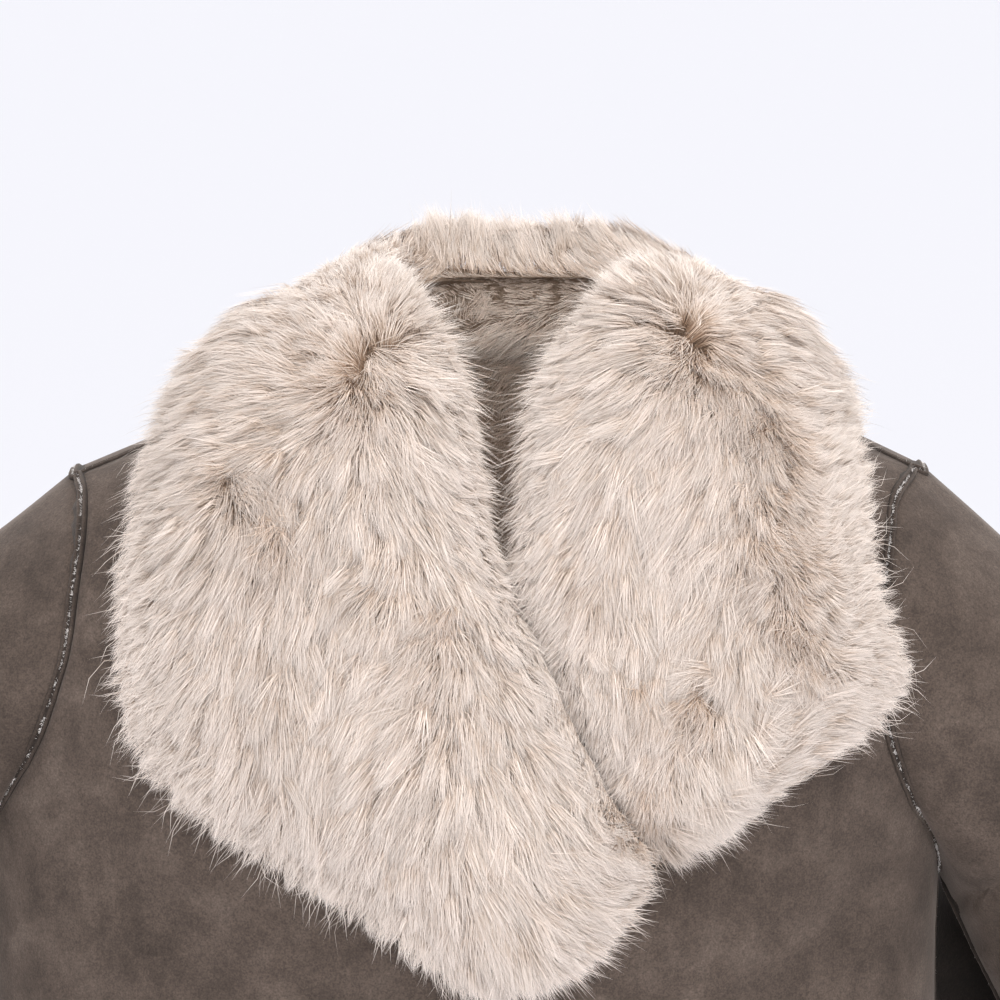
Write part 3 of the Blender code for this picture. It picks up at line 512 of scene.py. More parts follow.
def backPanel():
    detail = panelDetail["rows"]
    steps = panelDetail["sideSteps"] * detail
    t = np.linspace(0, 1, panelDetail["backColumns"] + 1)[None]
    share = (np.arange(steps + 1) / steps)[:, None]
    ends = []
    for side in (-1, 1):
        z = bodyForm["hemZ"] + (bodyForm["underarmZ"][side] - bodyForm["hemZ"]) * share
        ends += [sideOf(z, side), turnAt(sideOf(z, side), z, 1)]
    lower = rowPoints(*ends, 1, t, 0.0)
    holes = {side: armhole(side, 1, detail) for side in (-1, 1)}
    start = lower[-1]
    left = t[0] > 0.5
    holeX = np.where(left[None], holes[1][0][:, None], holes[-1][0][:, None])
    holeTurn = np.where(left[None], holes[1][1][:, None], holes[-1][1][:, None])
    lowTurn = turnAt(start[:, 0], start[:, 2], 1)[None]
    topX = bodyForm["shoulderX"][-1] + (bodyForm["shoulderX"][1] - bodyForm["shoulderX"][-1]) * t
    openNeck = 1 - ease(abs(topX - bodyForm["neckX"]), *bodyForm["neckOpen"])
    topTurn = bodyForm["seamTurn"] + (bodyForm["neckSeamTurn"] - bodyForm["seamTurn"]) * openNeck
    rise = (holeTurn - holeTurn[:1]) / (holeTurn[-1:] - holeTurn[:1])
    turn = lowTurn + (topTurn - lowTurn) * rise
    straight = holeX[:1] + (holeX[-1:] - holeX[:1]) * rise
    x = start[None, :, 0] + (topX - start[None, :, 0]) * rise + (holeX - straight) * abs(2 * t - 1) ** 3
    upper = clothPoint(x, turn)
    grid = np.concatenate([lower[:-1], upper])
    index = np.arange(len(grid))
    for side, column in ((-1, 0), (1, -1)):
        grid[index <= steps, column, 1] = bodyForm["ridgeY"] + bodyForm["sideGap"]
        grid[index >= steps, column, 0] -= side * bodyForm["sleeveGap"][side]
    grid = creased(finer(grid, panelDetail["finer"]), 1, True)
    grid = grid if outward(grid) > 0 else grid[:, ::-1]
    # painted shade deep in the side folds under the arms, where the cloth faces forwards, and less towards the hem
    high = ease(grid[..., 2], *paintedSideShade["z"])
    fold = ease(-gridNormals(grid)[..., 1], *paintedSideShade["facing"]) * (paintedSideShade["hem"] + (1 - paintedSideShade["hem"]) * high)
    shell("backPanel", grid, "back", fold=fold)


sleeveRings = [  # z, x, y, half width, half depth, lean in degrees
    (-0.2744, 0.3109, 0.006, 0.0735, 0.0760, 25.0), (-0.3527, 0.3466, 0.006, 0.0705, 0.0725, 24.5),
    (-0.4319, 0.3802, 0.001, 0.0670, 0.0690, 23.0), (-0.5127, 0.4096, -0.009, 0.0635, 0.0655, 20.0),
    (-0.5930, 0.4342, -0.022, 0.0605, 0.0620, 17.0),
]
sleeveForm = {
    "shiftX": {-1: -0.026, 1: 0.0}, "shiftZ": {-1: 0.014, 1: 0.0}, "topSlope": 41, "underSlope": 65,
    "headRings": 6, "ringStep": 2, "finer": 5,
}


def armholeLoop(side, detail):
    # from the underarm up the front, over the ridge and down the back
    front = clothPoint(*armhole(side, -1, detail))
    front[0, 1] = bodyForm["ridgeY"]
    back = clothPoint(*armhole(side, 1, detail))
    return np.concatenate([front, back[-2:0:-1]])


def sleeveSection(side, z, shares):
    x, y, half, depth, lean = (between(sleeveRings, z, column) for column in range(1, 6))
    lean = math.radians(float(lean))
    across = np.array([side * math.cos(lean), 0, math.sin(lean)])
    middle = np.array([side * x + sleeveForm["shiftX"][side], y, z + sleeveForm["shiftZ"][side]])
    angle = 2 * math.pi * shares[:, None]
    return middle - across * half * np.cos(angle) - np.array([0, 1, 0]) * depth * np.sin(angle)


def sleeveWays(side, shares):
    # the ways that a sleeve leaves its armhole, at shares of the way round
    up = (1 - np.cos(2 * math.pi * shares)) / 2
    slope = np.radians(sleeveForm["underSlope"] + (sleeveForm["topSlope"] - sleeveForm["underSlope"]) * up)
    return np.stack([side * np.cos(slope), 0 * slope, -np.sin(slope)], axis=1)


def sleeveGrid(side):
    start = armholeLoop(side, panelDetail["rows"])
    lengths = np.linalg.norm(np.roll(start, -1, axis=0) - start, axis=1)
    shares = np.concatenate([[0], np.cumsum(lengths)[:-1]]) / lengths.sum()
    leave = sleeveWays(side, shares)
    first = sleeveSection(side, sleeveRings[0][0], shares)
    lean = math.radians(sleeveRings[0][5])
    along = np.array([side * math.sin(lean), 0, -math.cos(lean)])
    reach = np.linalg.norm(first - start, axis=1)[:, None]
    origin = start + leave * bodyForm["sleeveGap"][side]
    head, step = sleeveForm["headRings"], sleeveForm["ringStep"]
    rings = [hermite(origin, leave * reach, first, along * reach, i / head) for i in range(head)]
    steps = (len(sleeveRings) - 1) * step
    for z in np.interp(np.arange(steps + 1), np.arange(0, steps + 1, step), [row[0] for row in sleeveRings]):
        rings.append(sleeveSection(side, z, shares))
    return finer(np.array(rings), sleeveForm["finer"]), shares


def sleevePanel(side):
    grid, shares = sleeveGrid(side)
    down = np.linspace(0, 1, len(grid))[:, None]
    a = shares[None] + 0 * down
    heights = sum(creaseHeight(a + turn, down + 0 * a, sleeveCreases) for turn in (-1, 0, 1))
    form = creaseForm
    heights = heights * ease(down, *form["sleeveTop"]) * (1 - ease(down, *form["cuff"]) * form["cuffShare"])
    normals = gridNormals(grid, True)
    sign = 1 if dot(normals, grid - grid.mean(axis=1, keepdims=True)).sum() > 0 else -1
    grid = grid + sign * normals * heights[..., None]
    grid = grid if sign > 0 else grid[:, ::-1]
    shell("sleeve" + sideNames[side], grid, "sleeve_" + sideNames[side].lower(), closed=True)


backPanel()
for side in sideNames:
    frontPanel(side)
    sleevePanel(side)
print("suede panels made")


# The fur's form: a row for each stretch across its width
furForm = {
    "lift": 0.0024, "overSleeve": 0.004, "overSleeveX": (0.165, 0.190), "overLapX": (-0.12, -0.04),
    "innerPower": 0.60, "outerPower": 1.7, "edge": 0.0012, "rowSplit": 5, "columns": 33,
}
lapelRightRows = [  # inner x and z, outer x and z, pile
    (0.0140, -0.2930, 0.0010, -0.2965, 0.010), (0.0340, -0.2835, -0.0190, -0.2900, 0.024),
    (0.0520, -0.2685, -0.0450, -0.2750, 0.031), (0.0650, -0.2480, -0.0780, -0.2540, 0.034),
    (0.0665, -0.2310, -0.1080, -0.2365, 0.035), (0.0600, -0.2180, -0.1380, -0.2190, 0.035),
    (0.0500, -0.2000, -0.1640, -0.2000, 0.034), (0.0390, -0.1780, -0.1800, -0.1780, 0.034),
    (0.0285, -0.1550, -0.1855, -0.1550, 0.034), (0.0160, -0.1300, -0.1870, -0.1320, 0.034),
    (0.0030, -0.1060, -0.1855, -0.1080, 0.034), (-0.0035, -0.0840, -0.1825, -0.0850, 0.035),
    (-0.0100, -0.0610, -0.1790, -0.0640, 0.036),
]
lapelLeftRows = [
    (0.0735, -0.2330, 0.0790, -0.2335, 0.010), (0.0690, -0.2235, 0.0950, -0.2265, 0.022),
    (0.0600, -0.2080, 0.1160, -0.2130, 0.029), (0.0510, -0.1920, 0.1430, -0.1970, 0.032),
    (0.0420, -0.1740, 0.1700, -0.1795, 0.033), (0.0330, -0.1560, 0.1885, -0.1600, 0.033),
    (0.0225, -0.1350, 0.1950, -0.1430, 0.033), (0.0125, -0.1150, 0.1880, -0.1280, 0.033),
    (0.0085, -0.0980, 0.1820, -0.1080, 0.034), (0.0090, -0.0800, 0.1800, -0.0860, 0.035),
    (0.0115, -0.0620, 0.1795, -0.0660, 0.036),
]
collarRows = [  # inner x and turn, outer x and turn, pile, how upright the inner side stands
    (-0.0170, -66, -0.1750, -33, 0.038, 0.00), (-0.0260, -52, -0.1715, -20, 0.040, 0.10),
    (-0.0350, -38, -0.1680, -6, 0.041, 0.20), (-0.0410, -22, -0.1650, 10, 0.041, 0.30),
    (-0.0430, -6, -0.1590, 32, 0.042, 0.50), (-0.0420, 7, -0.1480, 55, 0.045, 0.70),
    (-0.0340, 14, -0.1230, 82, 0.047, 0.85), (-0.0140, 18, -0.0700, 110, 0.047, 0.80),
    (0.0160, 20, 0.0120, 126, 0.049, 0.70), (0.0460, 19, 0.0950, 110, 0.050, 0.75),
    (0.0700, 14, 0.1470, 78, 0.050, 0.85), (0.0780, 7, 0.1660, 53, 0.048, 0.70),
    (0.0720, -6, 0.1710, 30, 0.044, 0.50), (0.0590, -22, 0.1745, 10, 0.043, 0.30),
    (0.0450, -38, 0.1760, -6, 0.042, 0.20), (0.0310, -52, 0.1780, -20, 0.041, 0.10),
    (0.0190, -66, 0.1785, -33, 0.038, 0.00),
]


def lapelStretches(rows):
    table = np.array(rows)
    turns = [turnAt(table[:, i], table[:, i + 1], -1) for i in (0, 2)]
    return np.stack([table[:, 0], turns[0], table[:, 2], turns[1], table[:, 4], 0 * table[:, 0]], axis=1)


def collarStretches():
    table = np.array(collarRows)
    table[:, [1, 3]] = np.radians(table[:, [1, 3]])
    return table


def furSurface(stretches, side):
    # the fur's outer surface and its underside, as grids: a row for each place along, a column for each across
    dense = finer(stretches[:, None, :], furForm["rowSplit"])[:, 0]
    angle = np.linspace(0, math.pi, furForm["columns"])
    share = ((1 - np.cos(angle)) / 2)[None]
    power = furForm["innerPower"] + (furForm["outerPower"] - furForm["innerPower"]) * share
    height = dense[:, 4:5] * np.maximum(0, np.sin(angle))[None] ** power
    x = dense[:, 0:1] + (dense[:, 2:3] - dense[:, 0:1]) * share
    turn = dense[:, 1:2] + (dense[:, 3:4] - dense[:, 1:2]) * share
    out = clothNormal(x, turn)
    lift = furForm["lift"] + furForm["overSleeve"] * ease(x, *furForm["overSleeveX"])
    if side < 0:
        lift = lift + (bodyForm["lapRise"] + bodyForm["restGap"]) * ease(x, *furForm["overLapX"])
    under = clothPoint(x, turn) + out * lift[..., None]
    stand = dense[:, 5:6] * (1 - share)
    rise = unit(out + np.array([0, 0, 1]) * stand[..., None])
    return under + rise * (height + furForm["edge"])[..., None], under


# Which way the pile lies, seen straight from the front: mm across and up from the middle of the view,
# the way it lies in degrees (0 to the right, 90 up), its length in mm, and how much it parts: there its darker roots
# show, and the strands get painted shade
pileGuides = [
    (-25, 119, 98, 24, 0), (-50, 119, 60, 24, 0), (-75, 119, 112, 26, 0), (-62.5, 110, 55, 25, 0),
    (-37.5, 111, 40, 22, 0.1), (-95, 107.5, 150, 27, 0), (-115, 100, -172, 27, 0), (-130, 82.5, -165, 27, 0),
    (-144, 64, -153, 27, 0), (-157.5, 42.5, -147, 27, 0), (-100, 95, 170, 27, 0), (-82.5, 97.5, 158, 27, 0),
    (-74, 87.5, 138, 24, 0.1), (-61.5, 87.5, 95, 22, 0.1), (-61, 98.5, 58, 22, 0), (-50, 100, 22, 24, 0),
    (-50, 87.5, 2, 26, 0), (-37.5, 87.5, 2, 26, 0), (-37.5, 75, -20, 28, 0), (-50, 75, -22, 26, 0),
    (-112.5, 82.5, 170, 27, 0), (-100, 76, 158, 24, 0.15), (-87.5, 75, 148, 20, 0.4), (-75, 74, 120, 15, 0.6),
    (-64, 74, -50, 20, 0.2), (-125, 70, -176, 27, 0), (-100, 61, 176, 20, 0.35), (-87.5, 62, 172, 15, 0.75),
    (-75, 63, -150, 12, 1), (-64, 57.5, -45, 16, 0.7), (-72.5, 54, -105, 14, 0.75), (-50, 62.5, -30, 28, 0),
    (-37.5, 61, -30, 28, 0), (-47.5, 50, -44, 28, 0), (-35, 49, -50, 28, 0), (-60, 47.5, -66, 24, 0.2),
    (-75, 47.5, -112, 20, 0.4), (-87.5, 47.5, -145, 20, 0.4), (-100, 47.5, -165, 24, 0.2),
    (-115, 50, -178, 27, 0.1), (-132.5, 47.5, -167, 27, 0), (-137.5, 35, -157, 27, 0), (-119, 35, -165, 24, 0.25),
    (-100, 35, -136, 24, 0.2), (-87.5, 35, -120, 25, 0.1), (-75, 35, -110, 26, 0.1), (-62.5, 35, -78, 26, 0.2),
    (-49, 35, -53, 28, 0), (-35, 35, -42, 28, 0), (-24, 37.5, -48, 26, 0), (-170, 25, -147, 26, 0),
    (-152.5, 22.5, -151, 26, 0), (-137.5, 24, -163, 22, 0.2), (-124, 24, -148, 20, 0.3),
    (-110, 22.5, -130, 22, 0.5), (-97.5, 22.5, -120, 26, 0.1), (-77.5, 20, -106, 28, 0), (-62.5, 20, -83, 28, 0.1),
    (-49, 20, -58, 28, 0), (-35, 21, -42, 28, 0), (-22.5, 22.5, -40, 26, 0), (-177.5, 10, -138, 24, 0),
    (-164, 10, -145, 26, 0), (-150, 11, -154, 24, 0.1), (-139, 17, -170, 16, 0.7), (-130, 12, -32, 20, 0.4),
    (-122, 4, -58, 20, 0.5), (-111, 7.5, -95, 24, 0.2), (-95, 7.5, -106, 28, 0), (-75, 5, -107, 28, 0),
    (-61, 5, -86, 28, 0), (-47.5, 5, -60, 28, 0), (-34, 6, -46, 28, 0), (-21, 7.5, -40, 26, 0),
    (-10, 5, -35, 22, 0.1), (-175, -12.5, -132, 26, 0), (-160, -12.5, -131, 28, 0), (-142.5, -11, -119, 28, 0),
    (-127.5, -10, -108, 26, 0.1), (-113, -11, -88, 14, 1), (-112, -22.5, -92, 18, 0.7),
    (-97.5, -12.5, -94, 28, 0.1), (-82.5, -12.5, -106, 28, 0), (-67.5, -12.5, -98, 28, 0),
    (-50, -12.5, -80, 28, 0), (-36, -12.5, -62, 28, 0), (-24, -12.5, -50, 26, 0), (-11, -12.5, -50, 22, 0),
    (-177.5, -37.5, -136, 28, 0), (-155, -37.5, -124, 28, 0), (-130, -37.5, -108, 28, 0),
    (-105, -37.5, -100, 28, 0.1), (-85, -37.5, -98, 28, 0), (-72.5, -37.5, -114, 26, 0.1),
    (-60, -36, -114, 22, 0.35), (-50, -41, -95, 22, 0.3), (-37.5, -37.5, -72, 26, 0), (-22.5, -37.5, -57, 28, 0),
    (-7.5, -37.5, -42, 26, 0), (0, -37.5, -30, 22, 0), (-180, -62.5, -135, 28, 0), (-157.5, -62.5, -120, 30, 0),
    (-135, -62.5, -108, 30, 0), (-110, -62.5, -98, 30, 0), (-87.5, -62.5, -92, 28, 0), (-70, -62.5, -104, 26, 0.1),
    (-52.5, -62.5, -117, 22, 0.25), (-39, -62.5, -124, 18, 0.2), (-27, -59, -95, 14, 0.8),
    (-15, -62.5, -62, 24, 0), (0, -62.5, -56, 28, 0), (10, -66, -60, 24, 0), (-180, -87.5, -134, 28, 0),
    (-157.5, -87.5, -124, 30, 0), (-135, -87.5, -110, 30, 0), (-112.5, -87.5, -94, 30, 0.1),
    (-97.5, -87.5, -86, 30, 0), (-77.5, -87.5, -106, 28, 0), (-57.5, -87.5, -124, 26, 0.1),
    (-40, -87.5, -126, 24, 0.2), (-26, -80, -98, 20, 0.3), (-12.5, -87.5, -72, 28, 0), (2.5, -87.5, -56, 30, 0),
    (15, -87.5, -50, 26, 0), (-180, -112.5, -128, 28, 0), (-160, -112.5, -120, 30, 0),
    (-137.5, -112.5, -113, 30, 0), (-112.5, -112.5, -91, 30, 0), (-97.5, -112.5, -86, 30, 0),
    (-77.5, -112.5, -117, 28, 0), (-57.5, -112.5, -130, 26, 0.1), (-40, -112.5, -130, 26, 0.1),
    (-25, -112.5, -98, 30, 0.1), (-11, -112.5, -84, 30, 0.1), (2.5, -112.5, -64, 30, 0),
    (17.5, -112.5, -48, 28, 0), (-167.5, -132.5, -130, 28, 0), (-145, -137.5, -124, 30, 0),
    (-125, -137.5, -107, 30, 0), (-100, -137.5, -87, 30, 0), (-77.5, -137.5, -116, 28, 0),
    (-57.5, -137.5, -126, 28, 0), (-40, -137.5, -114, 30, 0), (-25, -137.5, -95, 30, 0),
    (-10, -137.5, -80, 30, 0.1), (4, -137.5, -66, 30, 0), (20, -137.5, -50, 30, 0), (35, -137.5, -45, 26, 0),
    (-135, -152.5, -120, 28, 0), (-120, -161, -113, 28, 0), (-100, -162.5, -94, 30, 0),
    (-77.5, -162.5, -108, 30, 0), (-52.5, -162.5, -104, 30, 0), (-30, -162.5, -96, 32, 0),
    (-12.5, -162.5, -77, 32, 0), (2.5, -162.5, -66, 32, 0), (20, -162.5, -50, 32, 0), (37.5, -162.5, -39, 28, 0),
    (50, -166, -32, 24, 0), (-90, -181, -110, 28, 0), (-65, -187.5, -103, 30, 0), (-40, -187.5, -94, 30, 0),
    (-15, -187.5, -80, 32, 0), (2.5, -187.5, -66, 32, 0), (20, -187.5, -49, 30, 0), (37.5, -186, -30, 26, 0),
    (52.5, -185, -8, 22, 0), (64, -187.5, 5, 20, 0), (-50, -207.5, -98, 28, 0), (-25, -212.5, -86, 30, 0),
    (-7.5, -212.5, -76, 30, 0), (7.5, -212.5, -64, 30, 0), (22.5, -212.5, -45, 28, 0), (37.5, -209, -22, 24, 0),
    (51, -202.5, 5, 20, 0), (-15, -230, -80, 28, 0), (0, -232.5, -72, 28, 0), (15, -230, -56, 26, 0),
    (30, -224, -32, 24, 0), (0, 121, 108, 24, 0), (15, 121, 113, 24, 0), (32.5, 121, 122, 24, 0),
    (50, 121, 130, 24, 0), (65, 120, 142, 24, 0), (80, 117, 150, 24, 0), (10, 111.5, 118, 22, 0.1),
    (30, 110.5, 126, 22, 0.1), (50, 111.5, 136, 22, 0.1), (70, 109, 156, 22, 0), (90, 114, 122, 24, 0),
    (104, 112.5, 80, 24, 0), (91, 102.5, 140, 22, 0), (103, 101, 55, 22, 0), (115, 105, 20, 26, 0),
    (114, 94, -5, 26, 0), (126, 100, -18, 28, 0), (139, 95, -28, 28, 0), (150, 86, -34, 28, 0),
    (77.5, 100, 174, 24, 0), (62.5, 99, -170, 24, 0), (50, 96, -162, 24, 0), (77.5, 87.5, -173, 26, 0),
    (64, 87, -163, 28, 0), (51, 85, -153, 28, 0), (41, 82.5, -145, 26, 0), (91, 89, -178, 20, 0.3),
    (100, 87, 10, 16, 0.6), (95, 79, -140, 14, 0.8), (112.5, 86, -26, 22, 0.3), (125, 87.5, -10, 26, 0),
    (138.5, 86, -20, 28, 0), (37.5, 74, -154, 28, 0), (50, 75, -168, 28, 0), (64, 75, -163, 28, 0),
    (77.5, 75, -164, 24, 0.1), (89, 74, -155, 18, 0.5), (101.5, 72.5, -80, 13, 1), (114, 74, -44, 18, 0.6),
    (126, 75, -6, 24, 0.1), (139, 74, -12, 28, 0), (151.5, 74, -28, 28, 0), (163, 66, -38, 26, 0),
    (36, 61, -147, 28, 0), (50, 62.5, -162, 28, 0), (62.5, 62, -155, 28, 0), (75, 62, -132, 26, 0.1),
    (88, 61, -117, 22, 0.3), (101, 61, -98, 18, 0.6), (113, 61, -79, 18, 0.6), (125, 62, -78, 18, 0.6),
    (138, 62, -34, 20, 0.3), (151, 61, -13, 26, 0), (166, 55, -25, 26, 0), (29, 49, -147, 28, 0),
    (49, 49, -154, 30, 0), (62.5, 49, -141, 28, 0), (75, 49, -124, 28, 0), (88, 49, -111, 26, 0.1),
    (101, 49, -100, 24, 0.2), (114, 49, -97, 22, 0.3), (125, 49, -92, 18, 0.5), (134, 44, -90, 13, 1),
    (146, 44, 0, 20, 0.2), (160, 44, 14, 24, 0), (171, 44, 0, 24, 0), (26, 25, -133, 28, 0), (45, 25, -136, 30, 0),
    (61, 25, -120, 30, 0), (75, 25, -108, 30, 0), (88, 25, -106, 28, 0.1), (101, 25, -114, 28, 0.1),
    (114, 25, -104, 26, 0.2), (126, 25, -88, 22, 0.3), (137.5, 25, -86, 16, 0.5), (147.5, 27.5, -60, 13, 1),
    (161, 25, 40, 20, 0.2), (172.5, 25, 22, 24, 0), (20, 0, -125, 28, 0), (37.5, 0, -129, 30, 0),
    (51, 0, -124, 30, 0.1), (63, 0, -98, 30, 0.1), (75, 0, -89, 30, 0), (88, 0, -108, 28, 0),
    (101, 0, -119, 28, 0.1), (113, 0, -113, 24, 0.2), (125, 0, -108, 18, 0.5), (138, 1, -62, 13, 0.8),
    (150, 0, -66, 14, 0.7), (162.5, 0, 42, 22, 0.1), (175, 0, 34, 26, 0), (183, 0, 10, 22, 0),
    (12, -25, -122, 26, 0), (25, -25, -128, 30, 0), (39, -25, -127, 30, 0), (51, -25, -114, 28, 0.1),
    (63, -25, -98, 30, 0.1), (75, -25, -88, 30, 0), (88, -25, -109, 30, 0), (101, -25, -119, 30, 0),
    (114, -25, -111, 26, 0.2), (125, -24, -76, 16, 0.6), (137.5, -24, -52, 12, 1), (149, -25, -60, 12, 1),
    (161, -22.5, 42, 18, 0.4), (174, -25, 45, 24, 0), (184, -25, 0, 22, 0), (14, -50, -120, 26, 0),
    (26, -50, -131, 30, 0), (40, -50, -118, 30, 0), (52, -50, -98, 26, 0.2), (63, -50, -72, 30, 0),
    (75, -50, -88, 30, 0), (88, -50, -108, 30, 0), (101, -50, -118, 30, 0), (114, -50, -108, 28, 0.1),
    (125, -49, -117, 26, 0.1), (136, -42.5, -138, 20, 0.3), (149, -45, -62, 14, 0.7), (162, -50, -50, 18, 0.4),
    (174, -50, 42, 24, 0), (186, -49, -18, 24, 0), (28, -75, -116, 28, 0), (50, -75, -92, 28, 0),
    (63, -75, -88, 30, 0), (75, -75, -95, 30, 0), (89, -75, -106, 30, 0), (102, -75, -116, 28, 0),
    (114, -75, -104, 26, 0.1), (123, -72.5, -88, 24, 0.1), (135, -70, -78, 22, 0.1), (146, -66, -100, 12, 1),
    (152.5, -77.5, -70, 14, 0.7), (160, -84, -110, 14, 0.7), (171, -75, 12, 24, 0), (183, -72.5, -8, 26, 0),
    (194, -77.5, -22, 24, 0), (26, -100, -105, 28, 0), (39, -100, -95, 30, 0.1), (51, -100, -92, 30, 0),
    (63, -100, -86, 28, 0.1), (73, -96, -90, 16, 0.9), (82, -95, -114, 24, 0.1), (93, -90, -140, 22, 0.1),
    (98.5, -101.5, -120, 12, 1), (106, -94, 150, 16, 0.4), (112, -99, -52, 22, 0), (116, -114, -82, 26, 0),
    (120, -129, -80, 26, 0), (125, -95, -88, 22, 0.3), (136, -92, -60, 20, 0.3), (102, -111, -135, 15, 0.6),
    (90, -111, -120, 20, 0.3), (82, -121, -110, 22, 0.3), (100, -126, -76, 26, 0), (93, -141, -70, 26, 0),
    (104, -143, -62, 26, 0), (136, -103, 48, 26, 0), (149, -102, 28, 28, 0), (162, -101, 8, 28, 0),
    (175, -100, -16, 28, 0), (187, -95, -14, 26, 0), (135, -116, 48, 26, 0), (149, -115, 26, 28, 0),
    (162, -114, 6, 28, 0), (174, -113, -14, 26, 0), (128, -128, 50, 24, 0), (140, -128, 38, 26, 0),
    (152, -125, 28, 26, 0), (121, -140, 38, 24, 0), (132, -141, 28, 24, 0), (113, -151, 10, 22, 0),
    (104, -158, -22, 24, 0), (93, -161, -32, 24, 0), (82, -165, -44, 22, 0.2), (95, -169, -24, 22, 0),
    (39, -125, -96, 28, 0), (51, -125, -102, 28, 0.1), (64, -125, -105, 26, 0.1), (75, -126, -110, 22, 0.4),
    (81, -137.5, -84, 20, 0.4), (48, -142.5, -112, 26, 0.1), (62.5, -144, -114, 22, 0.3), (74, -150, -98, 16, 0.7),
    (56, -159, -120, 14, 0.8), (67, -165, -125, 12, 1), (71, -178, -50, 14, 0.8), (80, -176, -38, 18, 0.4),
    (74, -187, -30, 18, 0.3),
]
viewForm = {"place": np.array([0, -2.6358, 0.2043]), "tilt": math.radians(6), "distance": 2.6}
viewForward = np.array([0, math.cos(viewForm["tilt"]), -math.sin(viewForm["tilt"])])
viewUp = np.array([0, math.sin(viewForm["tilt"]), math.cos(viewForm["tilt"])])
viewRight = np.array([1.0, 0, 0])


def frontView(points):
    # where points are seen from the front, in mm across and up
    away = points - viewForm["place"]
    scale = 1000 * viewForm["distance"] / (away @ viewForward)
    return np.stack([away[..., 0] * scale, (away @ viewUp) * scale], axis=-1)


guideForm = {"chunk": 4000, "soft": 9, "power": 2.2}  # soft is the square of a distance in mm


def guided(points, guides):
    # the way, length and parting of the pile at points, from the guides near them
    table = np.array(guides, float)
    seen = frontView(points)
    angles, chunk = np.radians(table[:, 2]), guideForm["chunk"]
    ways = np.stack([np.cos(angles), np.sin(angles), table[:, 3], table[:, 4]], axis=1)
    result = np.zeros((len(points), 4))
    for start in range(0, len(points), chunk):
        part = seen[start:start + chunk]
        gap = ((part[:, None] - table[None, :, :2]) ** 2).sum(axis=2)
        weight = 1 / (gap + guideForm["soft"]) ** guideForm["power"]
        result[start:start + chunk] = weight @ ways / weight.sum(axis=1, keepdims=True)
    return result


def sampleGrid(grids, count, density):
    # random places on a grid, even by area: the grids' values there and how far across they are
    area = cellAreas(grids[0])
    weight = (area * density).ravel()
    cell = rng.choice(len(weight), count, p=weight / weight.sum())
    i, j = np.divmod(cell, area.shape[1])
    s, t = rng.random(count), rng.random(count)
    values = []
    for grid in grids:
        s1, t1 = s[:, None], t[:, None]
        low = grid[i, j] * (1 - t1) + grid[i, j + 1] * t1
        high = grid[i + 1, j] * (1 - t1) + grid[i + 1, j + 1] * t1
        values.append(low * (1 - s1) + high * s1)
    return values, (j + t) / area.shape[1]


def turned(way, axis, angle):
    # turns vectors round axes by angles
    c, s = np.cos(angle)[:, None], np.sin(angle)[:, None]
    return way * c + np.cross(axis, way) * s + axis * dot(axis, way) * (1 - c)


furLook = {
    "tuft": 0.0048, "tufts": 1.15, "width": 0.00031, "widths": (0.7, 1.3), "inset": 0.50, "insetMost": 0.013,
    "wayJitter": 12, "tuftJitter": 12, "tuftPull": (0.20, 0.78), "tuftLength": (0.84, 1.14), "tuftRise": 0.22,
    "tuftTone": 0.5, "tuftBend": 0.10, "lengthJitter": (0.66, 1.20), "riseJitter": 0.12,
    "toneJitter": 0.6, "toneShare": 0.5,
    "twist": 25, "curl": 0.05, "stations": (0.0, 0.42, 1.0), "softNormals": 0.70, "skyward": 0.0,
    "wisps": 0.06, "wispLength": 1.25, "wispSpill": 0.8, "wispPull": 0.25,
    "spill": (0.03, 0.16, 0.68, 0.92), "spillFacing": (0.1, 0.6), "spillLength": 0.26, "spillJitter": 0.50,
    "spillWisps": 0.12, "spillShare": 0.85, "spillRise": 0.0012, "partJitter": 2.2, "partRise": 0.007, "partLoose": 0.6,
    "fall": -0.16, "fallSpill": 0.8, "bow": 1.6,
}
backLook = {"spillLength": 0.62, "spill": (0.03, 0.16, 0.78, 0.96), "width": 0.00036}
fringeLook = {  # the thin long hairs that fringe the edges, over the cloth
    "tuft": 0.0050, "width": 0.00019, "spillLength": 0.45, "spillJitter": 0.50, "spillWisps": 0.0, "spillRise": 0.0022,
    "wayJitter": 14, "tuftJitter": 14, "tuftPull": (0.20, 0.75), "lengthJitter": (0.35, 0.90), "curl": 0.38,
    "stations": (0.0, 0.35, 0.7, 1.0), "band": (0.88, 0.985),
}
wayForm = {"least": 0.40, "front": (-0.15, 0.22), "crest": (0.16, 0.34), "crestJitter": 0.05, "backLength": 27}


def pileWays(roots, normals, across, overShare):
    # lay direction, length and parting: the guides where the fur faces the front, else away from its crest
    found = guided(roots, pileGuides)
    angleWay = unit(found[:, :2])
    flat = angleWay[:, :1] * viewRight + angleWay[:, 1:2] * viewUp
    facing = -(normals @ viewForward)
    deep = np.maximum(facing, wayForm["least"])[:, None]
    way = flat + viewForward * dot(flat, normals) / deep
    front = ease(facing, *wayForm["front"])[:, None]
    placed = overShare + rng.normal(0, wayForm["crestJitter"], len(overShare))
    crest = (2 * ease(placed, *wayForm["crest"]) - 1)[:, None]
    way = unit(way) * front + unit(across) * crest * (1 - front)
    way = unit(way - normals * dot(way, normals))
    length = (found[:, 2] * front[:, 0] + wayForm["backLength"] * (1 - front[:, 0])) / 1000
    parting = found[:, 3] * front[:, 0]
    return way, length, parting


def cellAreas(grid):
    return np.linalg.norm(np.cross(grid[1:, 1:] - grid[:-1, :-1], grid[1:, :-1] - grid[:-1, 1:]), axis=-1) / 2


def edgeShares(over):
    # the rows of a fur's grid stand closer at its edges
    return (1 - np.cos(math.pi * over)) / 2


